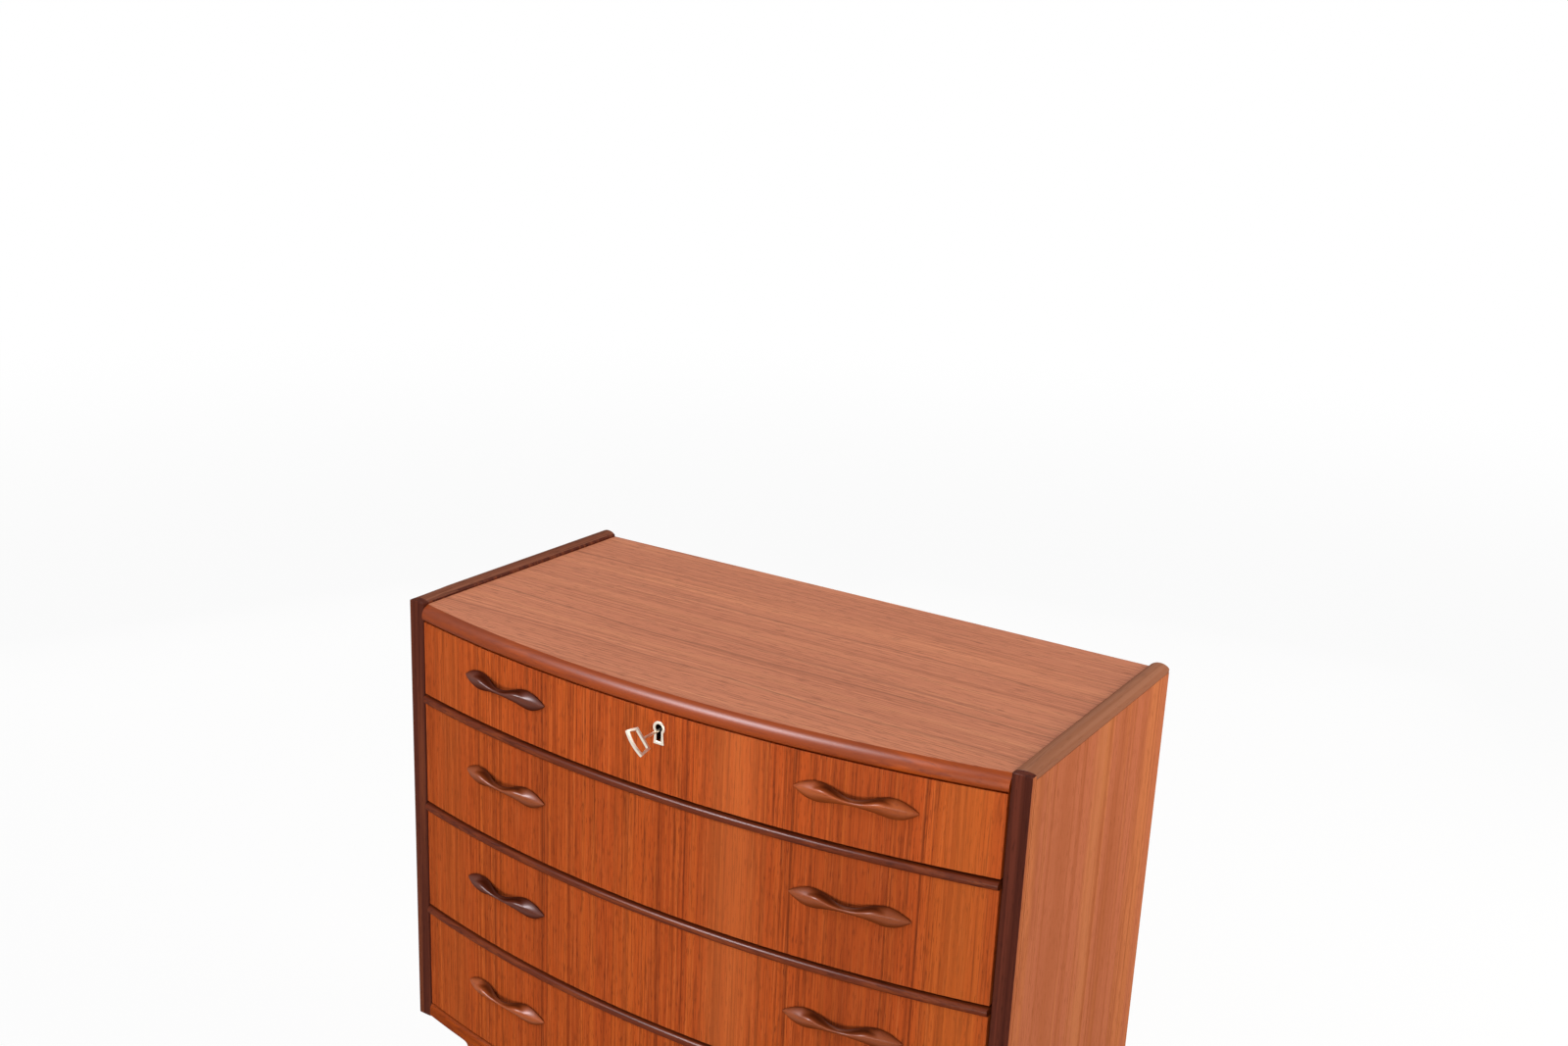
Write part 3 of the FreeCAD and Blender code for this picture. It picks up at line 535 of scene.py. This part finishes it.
class CHEST_OT_fronts(bpy.types.Operator):
    """Make the four bowed drawer fronts with eased edges"""

    bl_idname = "chest.fronts"
    bl_label = "Drawer fronts"

    # The keyhole's walls lie near the front's middle and inside its thickness, and aren't level.
    hole_reach = 30 * MM
    hole_depth = 9.5 * MM
    level_facing = 0.99

    def execute(self, context):
        sizes = context.scene.chest_sizes
        for number in DRAWERS:
            node = f"drawer_{number}_front"
            leaf = "front_upper" if number == 1 else "front"
            bm = copy_of(node)
            # The keyhole's walls take the painted shade of the hole.
            for face in bm.faces:
                spot = face.calc_center_median()
                inside = abs(spot.y - FACE - FRONT_THICKNESS / 2) < self.hole_depth
                upright = abs(face.normal.z) < self.level_facing
                face.material_index = int(abs(spot.x) < self.hole_reach and inside and upright)
            made = piece(bm, f"front_{number}", body_of(node), leaf, [node])
            made.data.materials.append(FINISH["bore"])
            eased(made, sizes.edge_easing, 2)
        return {"FINISHED"}


class CHEST_OT_beads(bpy.types.Operator):
    """Make the half-round beads along the lower drawers' top edges"""

    bl_idname = "chest.beads"
    bl_label = "Beads"

    arc_steps = 12

    def execute(self, context):
        sizes = context.scene.chest_sizes
        for number in DRAWERS[1:]:
            node = f"drawer_{number}_bead"
            low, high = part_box(node)
            bm = bmesh.new()
            middle = (low.z + high.z) / 2
            first = bm.verts.new((0, FACE, low.z))
            arc = bmesh.ops.spin(bm, geom=[first], cent=(0, FACE, middle), axis=(1, 0, 0), angle=-math.pi,
                                 steps=self.arc_steps)
            flatten = Matrix.Diagonal((1, sizes.bead_nose / (high.z - middle), 1))
            bmesh.ops.transform(bm, matrix=Matrix.Translation((0, FACE, 0)) @ flatten.to_4x4()
                                @ Matrix.Translation((0, -FACE, 0)), verts=bm.verts)
            last = points_in(arc["geom_last"])[0]
            ends = bmesh.ops.extrude_vert_indiv(bm, verts=[first, last])["verts"]
            bmesh.ops.translate(bm, vec=(0, sizes.bead_seat, 0), verts=ends)
            bm.edges.new(ends)
            along_bow(bm, HALF)
            piece(bm, f"bead_{number}", body_of(node), "bead", [node])
        return {"FINISHED"}


class CHEST_OT_nosings(bpy.types.Operator):
    """Make the rounded front edges of the top and the bottom"""

    bl_idname = "chest.nosings"
    bl_label = "Nosings"

    depth = 24 * MM
    round_steps = 7
    # An edge of the bow's outer face lies within this of it, and runs further than this along it.
    face_band = 1 * MM
    # The top's own veneer runs on over the faces that look this squarely up.
    upward = 0.97
    # Room round the lock's bolt, and how high its mortise goes.
    bolt_play = 1.5 * MM
    bolt_rise = 7.5 * MM

    def execute(self, context):
        sizes = context.scene.chest_sizes
        for node, upper, finish in (("top_nosing", sizes.nosing_round, "solid"),
                                    ("bottom_nosing", sizes.nosing_easing, "solid_low")):
            low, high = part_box(node)
            bm = self.bar(low, high)
            for level, width in ((high.z, upper), (low.z, sizes.nosing_easing)):
                edges = [e for e in bm.edges if lies_at(e, level) and self.on_face(e, low.y)]
                rounded(bm, edges, width, self.round_steps)
            if node == "top_nosing":
                self.mortise(bm, low.z)
            name = node.replace("nosing", "front_edge")
            made = piece(bm, name, body_of(node), finish, [node])
            if node == "top_nosing":
                made.data.materials.append(FINISH["top"])
                for face in made.data.polygons:
                    face.material_index = int(face.normal.z > self.upward)
        return {"FINISHED"}

    def bar(self, low, high):
        """A square bar along the bow."""
        back = low.y + self.depth
        bm = bmesh.new()
        points = [bm.verts.new((0, y, z)) for y, z in (
            (low.y, low.z), (low.y, high.z), (back, high.z), (back, low.z))]
        for start, end in zip(points, points[1:] + points[:1]):
            bm.edges.new((start, end))
        along_bow(bm, high.x)
        return bm

    def on_face(self, edge, face):
        """Whether an edge runs along the bow's outer face."""
        start, end = edge.verts
        radius = BOW_AXIS.y - face - self.face_band
        outside = all((v.co - BOW_AXIS).xy.length > radius for v in edge.verts)
        return outside and len(edge.link_faces) == 2 and abs(start.co.x - end.co.x) > self.face_band

    def mortise(self, bm, level):
        """Open the underside for the lock's bolt."""
        low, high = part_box("lock_bolt")
        play = self.bolt_play
        walls = [((low.x - play, 0, 0), (1, 0, 0)), ((high.x + play, 0, 0), (1, 0, 0)),
                 ((0, low.y - play, 0), (0, 1, 0)), ((0, high.y + play, 0), (0, 1, 0))]
        for spot, way in walls:
            under = [f for f in bm.faces if lies_at(f, level)]
            edges = list({e for f in under for e in f.edges})
            verts = list({v for f in under for v in f.verts})
            bmesh.ops.bisect_plane(bm, geom=under + edges + verts, plane_co=spot, plane_no=way)
        floor = [f for f in bm.faces if lies_at(f, level)
                 and low.x - play < f.calc_center_median().x < high.x + play
                 and low.y - play < f.calc_center_median().y < high.y + play]
        raised = bmesh.ops.extrude_face_region(bm, geom=floor)["geom"]
        bmesh.ops.translate(bm, vec=(0, 0, self.bolt_rise), verts=points_in(raised))
        bmesh.ops.delete(bm, geom=floor, context="FACES")


class CHEST_OT_lippings(bpy.types.Operator):
    """Make the crowned lippings on the sides' top and front edges"""

    bl_idname = "chest.lippings"
    bl_label = "Lippings"

    # The arc of the top, and how far and how much it is rubbed down from its front end.
    crown = 4.5 * MM
    crown_steps = 10
    rubbed_length = 60 * MM
    rubbed_share = 0.7
    post_steps = 6
    # A front lipping's upright edges are longer than this.
    upright_length = 100 * MM
    # Side veneer runs over the front lippings' outer faces; the top lippings' inner sides take the front
    # lippings' dark finish as painted shade.
    outer_facing = 0.95
    shaded_inner_facing = -0.62

    def execute(self, context):
        sizes = context.scene.chest_sizes
        for name, side in SIDES:
            for kind in ("top", "front"):
                node = f"side_{kind}_lipping_{name}"
                low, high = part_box(node)
                bm = self.crowned(low, high)
                if kind == "front":
                    upright = [e for e in bm.edges if all(abs(v.co.y - low.y) < SAME_LEVEL for v in e.verts)
                               and abs(e.verts[0].co.z - e.verts[1].co.z) > self.upright_length]
                    rounded(bm, upright, sizes.post_round, self.post_steps)
                # A top lipping's inner side gets the front lipping's dark finish as painted shade.
                for face in bm.faces:
                    outer = face.normal.x * side
                    second = outer > self.outer_facing if kind == "front" else outer < self.shaded_inner_facing
                    face.material_index = int(second)
                finish = f"lipping_{kind}_{name}"
                made = piece(bm, finish, body_of(node), finish, [node])
                made.data.materials.append(FINISH["side" if kind == "front" else f"lipping_front_{name}"])
                eased(made, sizes.edge_easing, 2)
        return {"FINISHED"}

    def crowned(self, low, high):
        """A bar along Y whose top is an arc, rubbed down towards its front end."""
        half = (high.x - low.x) / 2
        radius = (half * half + self.crown * self.crown) / (2 * self.crown)
        shoulder = high.z - self.crown
        middle = Vector(((low.x + high.x) / 2, low.y, high.z - radius))
        bm = bmesh.new()
        first = bm.verts.new((high.x, low.y, shoulder))
        angle = 2 * math.asin(half / radius)
        arc = bmesh.ops.spin(bm, geom=[first], cent=middle, axis=-REARWARD, angle=angle,
                             steps=self.crown_steps)
        last = points_in(arc["geom_last"])[0]
        feet = bmesh.ops.extrude_vert_indiv(bm, verts=[first, last])["verts"]
        for foot in feet:
            foot.co.z = low.z
        bm.edges.new(feet)
        end = bmesh.ops.edgeloop_fill(bm, edges=bm.edges)["faces"]
        bar = bmesh.ops.extrude_face_region(bm, geom=end)["geom"]
        bmesh.ops.translate(bm, vec=(0, high.y - low.y, 0), verts=points_in(bar))
        rubbed_end = (0, POST + self.rubbed_length, 0)
        bmesh.ops.bisect_plane(bm, geom=whole(bm), plane_co=rubbed_end, plane_no=REARWARD)
        for point in bm.verts:
            rise = point.co.z - shoulder
            if rise > 0:
                nearness = max(0, 1 - (point.co.y - POST) / self.rubbed_length)
                point.co.z -= self.rubbed_share * rise * nearness
        bmesh.ops.recalc_face_normals(bm, faces=bm.faces)
        return bm


# Half of a carved pull, from its waist to its tip, in millimetres: distance from the middle, half its
# height, how far its ridge is lifted towards the upper edge, and how far the ridge, the widest line and the
# back stand in front of the drawer; then how full the upper and the lower flank are, from under 1 for a
# hollow to 2 for a full round.
PULL_STATIONS = (
    (0, 3.6, 0.8, 12.2, 8.4, 7.0, 0.6, 1.5),
    (10, 4.5, 1.7, 12.8, 7.4, 5.6, 0.45, 1.5),
    (18, 6.8, 4.5, 14.6, 4.6, 3.0, 0.3, 1.6),
    (25, 9.0, 7.1, 15.8, 2.2, 0.7, 0.25, 1.7),
    (31, 10.5, 8.5, 15.6, 1.6, 0.05, 0.28, 1.8),
    (37, 11.4, 7.6, 13.8, 1.6, 0.05, 0.7, 1.9),
    (43, 11.3, 5.2, 11.6, 1.9, 0.05, 1.5, 2.0),
    (49, 10.3, 3.4, 9.8, 2.0, 0.05, 1.9, 2.0),
    (55, 8.2, 2.2, 7.8, 2.0, 0.05, 1.9, 1.9),
    (60, 5.6, 1.2, 5.6, 1.7, 0.05, 1.8, 1.8),
    (64, 3.0, 0.5, 3.6, 1.3, 0.05, 1.6, 1.6),
    (66.3, 1.2, 0.2, 2.2, 1.1, 0.4, 1.5, 1.5),
    (67, 0.4, 0, 1.6, 1.0, 0.8, 1.5, 1.5),
)
PULL_SIDES = 24
# How crisp the ridge stays when a pull is smoothed, and how far it reaches, in millimetres from the middle,
# before the lobe is a dome.
RIDGE_CREASE = 0.12
RIDGE_REACH = 31
# How round the back is, from 1 for a half round to 0 for a square one.
BACK_ROUND = 0.7
# Shade painted on a pull, from 0 to 1. The face darkens where its upper flank is less full than the first
# value, and towards both rims, which start at a share of the way out and darken at their own rates.
DARK_BELOW_FULL = 1.1
DARKEST_FACE = 0.85
UPPER_FLANK = 0.1
UPPER_RIM, UPPER_RIM_RATE = 0.6, 1.3
LOWER_RIM, LOWER_RIM_RATE = 0.3, 0.8
# The back of a pull is painted dark all over, as shade.
DARK_BACK = 0.6
# Pulls cut from darker wood, by drawer and side.
PULL_WOODS = {
    (1, "left"): "pull_dark", (2, "left"): "pull_mid", (2, "right"): "pull_mid", (3, "left"): "pull_dark",
    (3, "right"): "pull_mid", (4, "right"): "pull_mid",
}


class CHEST_OT_pulls(bpy.types.Operator):
    """Carve the eight pulls: two leaves joined by a waist that stands off the drawer"""

    bl_idname = "chest.pulls"
    bl_label = "Pulls"

    def execute(self, context):
        for number in DRAWERS:
            for name, side in SIDES:
                node = f"drawer_{number}_handle_{name}"
                low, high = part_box(node)
                bm = self.carved()
                level = (low.z + high.z) / 2
                reach = side * PULL_REACH
                turn = math.asin(reach / BOW)
                seat = BOW_AXIS.y - math.sqrt(BOW * BOW - reach * reach)
                place = Matrix.Translation((reach, seat, level)) @ Matrix.Rotation(turn, 4, "Z")
                bmesh.ops.transform(bm, matrix=place, verts=bm.verts)
                wood = PULL_WOODS.get((number, name), "pull")
                title = f"pull_{number}_{name}"
                made = piece(bm, title, body_of(node), wood, [node], sharp=180)
                smooth = made.modifiers.new("Smooth", "SUBSURF")
                smooth.levels = smooth.render_levels = 2
        return {"FINISHED"}

    def carved(self):
        """A ring of points drawn through the stations from one tip to the other."""
        bm = bmesh.new()
        # Shade painted on the pull, which its material reads.
        painted_shade = bm.verts.layers.float.new("painted_shade")
        crease = bm.edges.layers.float.new("crease_edge")
        stations = [(-x, *rest) for x, *rest in reversed(PULL_STATIONS)] + list(PULL_STATIONS[1:])
        loop = bmesh.ops.create_circle(bm, cap_ends=False, segments=PULL_SIDES, radius=1)["verts"]
        self.shape(loop, stations[0], painted_shade)
        bm.faces.new(loop)
        crest = PULL_SIDES // 4
        for station in stations[1:]:
            before = loop[crest]
            edges = [e for e in bm.edges if all(v in loop for v in e.verts)]
            grown = points_in(bmesh.ops.extrude_edge_only(bm, edges=edges)["geom"])
            loop = [self.grown_from(point, grown) for point in loop]
            self.shape(loop, station, painted_shade)
            if abs(station[0]) <= RIDGE_REACH:
                bm.edges.get((before, loop[crest]))[crease] = RIDGE_CREASE
        bm.faces.new(loop)
        bmesh.ops.recalc_face_normals(bm, faces=bm.faces)
        return bm

    def grown_from(self, point, grown):
        """The new ring's point that grew from a point of the last ring."""
        return next(e.other_vert(point) for e in point.link_edges if e.other_vert(point) in grown)

    def shape(self, loop, station, painted_shade):
        """Set a ring to a station: a broad face below the ridge, a short flank above, a low round behind."""
        x, half, lift, ridge, wide, back = (v * MM for v in station[:6])
        upper_full, lower_full = station[6:]
        bend = BOW - math.sqrt(BOW * BOW - x * x)
        for i, point in enumerate(loop):
            angle = 2 * math.pi * i / len(loop)
            across, out = math.cos(angle), math.sin(angle)
            height = half * across
            if out > 0:
                full = upper_full if across > 0 else lower_full
                stand = wide + (ridge - wide) * (1 - abs(across) ** full)
                height += lift * (1 - abs(across))
                point[painted_shade] = self.darkness(across, full)
            else:
                stand = wide - (wide - back) * abs(out) ** BACK_ROUND
                point[painted_shade] = DARK_BACK
            point.co = Vector((x, bend - stand, height))

    def darkness(self, across, full):
        """How much shade is painted on a point of the face, from the lower rim at -1 across to the upper one
        at 1.
        """
        if across > UPPER_FLANK:
            flank_shade = max(0, DARK_BELOW_FULL - full)
            return min(DARKEST_FACE, flank_shade + UPPER_RIM_RATE * max(0, across - UPPER_RIM))
        return LOWER_RIM_RATE * max(0, -across - LOWER_RIM)


class CHEST_OT_lock(bpy.types.Operator):
    """Make the key and its plate with rounded edges"""

    bl_idname = "chest.lock"
    bl_label = "Key and plate"

    def execute(self, context):
        sizes = context.scene.chest_sizes
        for node, name in (("key", "turned_key"), ("escutcheon", "key_plate")):
            made = piece(copy_of(node), name, body_of(node), "nickel", [node], sharp=30)
            eased(made, sizes.metal_easing, 3)
        return {"FINISHED"}


class CHEST_OT_base(bpy.types.Operator):
    """Make the tapered legs with eased edges and finish their rails"""

    bl_idname = "chest.base"
    bl_label = "Legs and rails"

    def execute(self, context):
        sizes = context.scene.chest_sizes
        for name, _ in SIDES:
            for end in ("front", "rear"):
                node = f"leg_{end}_{name}"
                title = f"tapered_{node}"
                made = piece(copy_of(node), title, body_of(node), "upright", [node])
                eased(made, sizes.leg_easing, 3)
            dress(f"base_rail_{name}", "solid_low")
        return {"FINISHED"}


class CHEST_OT_screws(bpy.types.Operator):
    """Add the slotted screws of the pulls, the lock, the back and the rails"""

    bl_idname = "chest.screws"
    bl_label = "Screws"

    # Where the screws stand: in from the edges of the back and of the lock, along a rail, and out from the
    # middle of a pull.
    back_inset = 12 * MM
    back_gaps_across = 5
    back_gaps_up = 4
    lock_inset = 5 * MM
    rail_shares = (0.3, 0.7)
    lobe_reach = 40 * MM
    # Each head is turned this much further than the last, in radians.
    turn_step = 0.7
    # A head's rim, shoulder and slot, as shares of its radius and its rise.
    head_steps = 16
    rim_rise = 0.35
    shoulder_radius, shoulder_rise = 0.72, 0.85
    slot_half, slot_floor, slot_from = 0.14, 0.3, 0.4

    def execute(self, context):
        head = self.slotted_head(context.scene.chest_sizes)
        self.scatter(head, "back_screws", "case", self.back_spots())
        self.scatter(head, "rail_screws", "case", self.rail_spots())
        for number in DRAWERS:
            self.scatter(head, f"pull_screws_{number}", f"drawer_{number}", self.pull_spots(number))
        self.scatter(head, "lock_screws", "drawer_1", self.lock_spots())
        bpy.data.meshes.remove(head)
        return {"FINISHED"}

    def back_spots(self):
        """Along the upper and lower edges of the back, then up its two ends."""
        low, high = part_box("back_panel")
        inset = Vector((self.back_inset, 0, self.back_inset))
        first, last = low + inset, high - inset
        span = last - first
        spots = []
        for step in range(self.back_gaps_across + 1):
            x = first.x + span.x * step / self.back_gaps_across
            spots += [(Vector((x, high.y, z)), REARWARD) for z in (first.z, last.z)]
        for step in range(1, self.back_gaps_up):
            z = first.z + span.z * step / self.back_gaps_up
            spots += [(Vector((x, high.y, z)), REARWARD) for x in (first.x, last.x)]
        return spots

    def rail_spots(self):
        """Two under each rail."""
        spots = []
        for name, _ in SIDES:
            low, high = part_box(f"base_rail_{name}")
            middle = (low.x + high.x) / 2
            for share in self.rail_shares:
                spots.append((Vector((middle, low.y + share * (high.y - low.y), low.z)), -UP))
        return spots

    def pull_spots(self, number):
        """Inside a drawer, behind both lobes of its pulls."""
        inner = BOW - FRONT_THICKNESS
        spots = []
        for name, side in SIDES:
            low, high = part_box(f"drawer_{number}_handle_{name}")
            for lobe in (-1, 1):
                x = side * PULL_REACH + lobe * self.lobe_reach
                spot = Vector((x, BOW_AXIS.y - math.sqrt(inner * inner - x * x), (low.z + high.z) / 2))
                facing = BOW_AXIS - spot
                facing.z = 0
                spots.append((spot, facing.normalized()))
        return spots

    def lock_spots(self):
        """At the four corners of the lock's case."""
        low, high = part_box("lock_case")
        inset = self.lock_inset
        return [(Vector((x, high.y, z)), REARWARD) for x in (low.x + inset, high.x - inset)
                for z in (low.z + inset, high.z - inset)]

    def slotted_head(self, sizes):
        """A low domed head with its slot, standing on z = 0."""
        radius, rise = sizes.screw_radius, sizes.screw_rise
        profile = ((radius, 0), (radius, self.rim_rise * rise),
                   (self.shoulder_radius * radius, self.shoulder_rise * rise), (0, rise))
        bm = bmesh.new()
        points = [bm.verts.new((x, 0, z)) for x, z in profile]
        for start, end in zip(points, points[1:]):
            bm.edges.new((start, end))
        bmesh.ops.spin(bm, geom=bm.verts[:] + bm.edges[:], cent=(0, 0, 0), axis=UP, angle=2 * math.pi,
                       steps=self.head_steps, use_merge=True)
        bmesh.ops.remove_doubles(bm, verts=bm.verts, dist=SAME_POINT)
        half = self.slot_half * radius
        for side in (-1, 1):
            bmesh.ops.bisect_plane(bm, geom=whole(bm), plane_co=(0, side * half, 0), plane_no=REARWARD)
        slot = [f for f in bm.faces if abs(f.calc_center_median().y) < half and f.normal.length > 0
                and f.calc_center_median().z > self.slot_from * rise]
        sunk = bmesh.ops.extrude_face_region(bm, geom=slot)["geom"]
        for point in points_in(sunk):
            point.co.z = self.slot_floor * rise
        bmesh.ops.delete(bm, geom=slot, context="FACES")
        bmesh.ops.recalc_face_normals(bm, faces=bm.faces)
        mesh = bpy.data.meshes.new("slotted_head")
        bm.to_mesh(mesh)
        bm.free()
        return mesh

    def scatter(self, head, name, body, spots):
        """Set a head at every spot, each turned a little further than the last."""
        bm = bmesh.new()
        for i, (spot, facing) in enumerate(spots):
            bm.from_mesh(head)
            bm.verts.ensure_lookup_table()
            grown = bm.verts[-len(head.vertices):]
            place = (Matrix.Translation(spot) @ facing.to_track_quat("Z", "Y").to_matrix().to_4x4()
                     @ Matrix.Rotation(self.turn_step * i, 4, "Z"))
            bmesh.ops.transform(bm, matrix=place, verts=grown)
        piece(bm, name, body, "steel", sharp=35)


# Each lamp's name, its place, the height above the origin that it points at, its width and length, all in
# metres, its watts and its tint.
LAMPS = (
    ("window_light", (-1.06, -1.75, 2.55), 0.7, (0.6, 1.0), 32, (0.93, 0.96, 1.0)),
    ("gleam_light", (-1.06, -1.75, 2.55), 0.7, (0.7, 1.2), 175, (0.95, 0.93, 1.0)),
    ("left_light", (-2.3, 0.95, 0.14), 0.6, (1.2, 0.2), 7, (1.0, 0.98, 0.95)),
    ("rear_light", (-0.35, 2.5, 0.14), 0.6, (1.4, 0.2), 6, (1.0, 0.98, 0.95)),
    ("fill_light", (-1.0, -2.7, 1.0), 0.9, (3.0, 1.6), 24, (0.9, 0.95, 1.0)),
    ("front_light", (1.3, -2.8, 0.6), 0.5, (2.0, 0.9), 47, (1.0, 0.98, 0.95)),
    ("right_light", (2.0, 1.2, 1.4), 0.5, (1.3, 1.3), 48, (1.0, 0.98, 0.96)),
    ("back_light", (-0.3, 1.8, 3.0), 0.7, (2.2, 1.2), 8, (1.0, 0.98, 0.96)),
    ("upper_light", (-0.95, -0.1, 2.9), 0.7, (1.6, 0.5), 16, (0.95, 0.97, 1.0)),
)
# The low lamps light the left side and the back, with a narrow spread that leaves no hard limit on the floor.
LOW_LAMPS = ("left_light", "rear_light")
LOW_SPREAD = math.radians(75)
# The rounds reflect the window: the broad and the low lamps stay out of reflections, and the gleam shows
# only there.
UNREFLECTED_LAMPS = ("fill_light", "upper_light", *LOW_LAMPS)
REFLECTED_LAMP = "gleam_light"

# The camera that was fitted to the photograph: its place in metres, its turns about X, Y and Z in degrees,
# its sensor and lens in millimetres, and its shift in widths of the picture.
CAMERA_PLACE = Vector((0.9639, -1.49945, 1.3867))
CAMERA_TURNS = (72.8102, -2.4924, 32.4949)
CAMERA_SENSOR = 36
CAMERA_LENS = 38.96
CAMERA_SHIFT = (-0.003376, 0.013686)
CAMERA_NEAR = 0.01

# The floor's half width and where it turns from its own colour, which keeps the shadow, to plain white, in
# metres; how white it looks close by; the colour that it throws back on the chest; and the strength of the
# light all round.
FLOOR_HALF = 30
FLOOR_FADE = (1.5, 6.0)
FLOOR_WHITE = 0.93
FLOOR_BOUNCE = "#7C7A77"
AMBIENT = 0.07
WHITE = (1, 1, 1, 1)


def seen_ray(tree):
    """1 for what the camera sees, straight, mirrored or through glass, and 0 for light on its way."""
    rays = add(tree, "LightPath").outputs
    seen = add(tree, "Math", LARGER, {0: rays["Is Camera Ray"], 1: rays["Is Glossy Ray"]}).outputs[0]
    return add(tree, "Math", LARGER, {0: seen, 1: rays["Is Transmission Ray"]}).outputs[0]


class CHEST_OT_stage(bpy.types.Operator):
    """Set the floor, the soft lights, the white surroundings and the camera"""

    bl_idname = "chest.stage"
    bl_label = "Stage"

    def execute(self, context):
        self.floor(context)
        self.surroundings(context)
        self.lights(context)
        self.camera(context)
        context.scene.view_settings.view_transform = "Standard"
        return {"FINISHED"}

    def floor(self, context):
        """A pale floor that fades to white and keeps the chest's shadow."""
        material, tree, output = fresh("studio_floor")
        place = add(tree, "TexCoord").outputs["Object"]
        far = add(tree, "VectorMath", {"operation": "LENGTH"}, {0: place}).outputs["Value"]
        fade = add(tree, "MapRange", SMOOTH_STEP, {
            "Value": far, "From Min": FLOOR_FADE[0], "From Max": FLOOR_FADE[1]}).outputs[0]
        lift = add(tree, "MapRange", inputs={"Value": fade, "To Min": FLOOR_WHITE}).outputs[0]
        pale = add(tree, "BsdfDiffuse", inputs={"Color": tuple(context.scene.chest_colours.floor)})
        dim = add(tree, "BsdfDiffuse", inputs={"Color": linear(FLOOR_BOUNCE)})
        white = add(tree, "Emission")
        shown = add(tree, "MixShader", inputs={0: lift, 1: pale.outputs[0], 2: white.outputs[0]})
        both = add(tree, "MixShader", inputs={0: seen_ray(tree), 1: dim.outputs[0], 2: shown.outputs[0]})
        tree.links.new(both.outputs[0], output.inputs[0])
        bm = bmesh.new()
        bmesh.ops.create_grid(bm, x_segments=1, y_segments=1, size=FLOOR_HALF)
        mesh = bpy.data.meshes.new("floor")
        bm.to_mesh(mesh)
        bm.free()
        mesh.materials.append(material)
        floor = bpy.data.objects.new("floor", mesh)
        context.scene.collection.objects.link(floor)

    def surroundings(self, context):
        """White all round for the camera, and a little soft light for the chest."""
        world = bpy.data.worlds.new("studio")
        context.scene.world = world
        world.use_nodes = True
        tree = world.node_tree
        tree.nodes.clear()
        soft = add(tree, "Background", inputs={"Color": WHITE, "Strength": AMBIENT})
        white = add(tree, "Background", inputs={"Color": WHITE, "Strength": 1.0})
        both = add(tree, "MixShader", inputs={0: seen_ray(tree), 1: soft.outputs[0], 2: white.outputs[0]})
        output = add(tree, "OutputWorld")
        tree.links.new(both.outputs[0], output.inputs[0])

    def lights(self, context):
        """The studio's lamps, each pointed at the chest."""
        for name, spot, aim, size, watts, tint in LAMPS:
            lamp = bpy.data.lights.new(name, "AREA")
            lamp.shape = "RECTANGLE"
            lamp.size, lamp.size_y = size
            lamp.energy = watts
            lamp.color = tint
            if name in LOW_LAMPS:
                lamp.spread = LOW_SPREAD
            holder = bpy.data.objects.new(name, lamp)
            holder.location = spot
            holder.visible_glossy = name not in UNREFLECTED_LAMPS
            holder.visible_diffuse = name != REFLECTED_LAMP
            holder.rotation_euler = (Vector((0, 0, aim)) - Vector(spot)).to_track_quat("-Z", "Y").to_euler()
            context.scene.collection.objects.link(holder)

    def camera(self, context):
        """The camera at the photograph's viewing angle."""
        lens = bpy.data.cameras.new("photo_camera")
        lens.sensor_width = CAMERA_SENSOR
        lens.sensor_fit = "HORIZONTAL"
        lens.lens = CAMERA_LENS
        lens.shift_x, lens.shift_y = CAMERA_SHIFT
        lens.clip_start = CAMERA_NEAR
        holder = bpy.data.objects.new("photo_camera", lens)
        turns = Euler([math.radians(turn) for turn in CAMERA_TURNS])
        holder.matrix_world = Matrix.LocRotScale(CAMERA_PLACE, turns, None)
        context.scene.collection.objects.link(holder)
        context.scene.camera = holder


OPERATORS = (
    CHEST_OT_boards, CHEST_OT_fronts, CHEST_OT_beads, CHEST_OT_nosings, CHEST_OT_lippings, CHEST_OT_pulls,
    CHEST_OT_lock, CHEST_OT_base, CHEST_OT_screws, CHEST_OT_stage,
)


class CHEST_PT_panel(bpy.types.Panel):
    """Lists the chest's pieces"""

    bl_idname = "CHEST_PT_panel"
    bl_label = "Chest of drawers"
    bl_space_type = "VIEW_3D"
    bl_region_type = "UI"
    bl_category = "Chest"

    def draw(self, context):
        for kind in OPERATORS:
            self.layout.operator(kind.bl_idname)


CLASSES = (ChestSizes, ChestColours, *OPERATORS, CHEST_PT_panel)


def register():
    for kind in CLASSES:
        bpy.utils.register_class(kind)
    bpy.types.Scene.chest_sizes = PointerProperty(type=ChestSizes)
    bpy.types.Scene.chest_colours = PointerProperty(type=ChestColours)


def unregister():
    del bpy.types.Scene.chest_colours
    del bpy.types.Scene.chest_sizes
    for kind in reversed(CLASSES):
        bpy.utils.unregister_class(kind)


def main():
    register()
    bpy.ops.chest.boards()
    bpy.ops.chest.fronts()
    bpy.ops.chest.beads()
    bpy.ops.chest.nosings()
    bpy.ops.chest.lippings()
    bpy.ops.chest.pulls()
    bpy.ops.chest.lock()
    bpy.ops.chest.base()
    bpy.ops.chest.screws()
    bpy.ops.chest.stage()


if __name__ == "__main__":
    main()
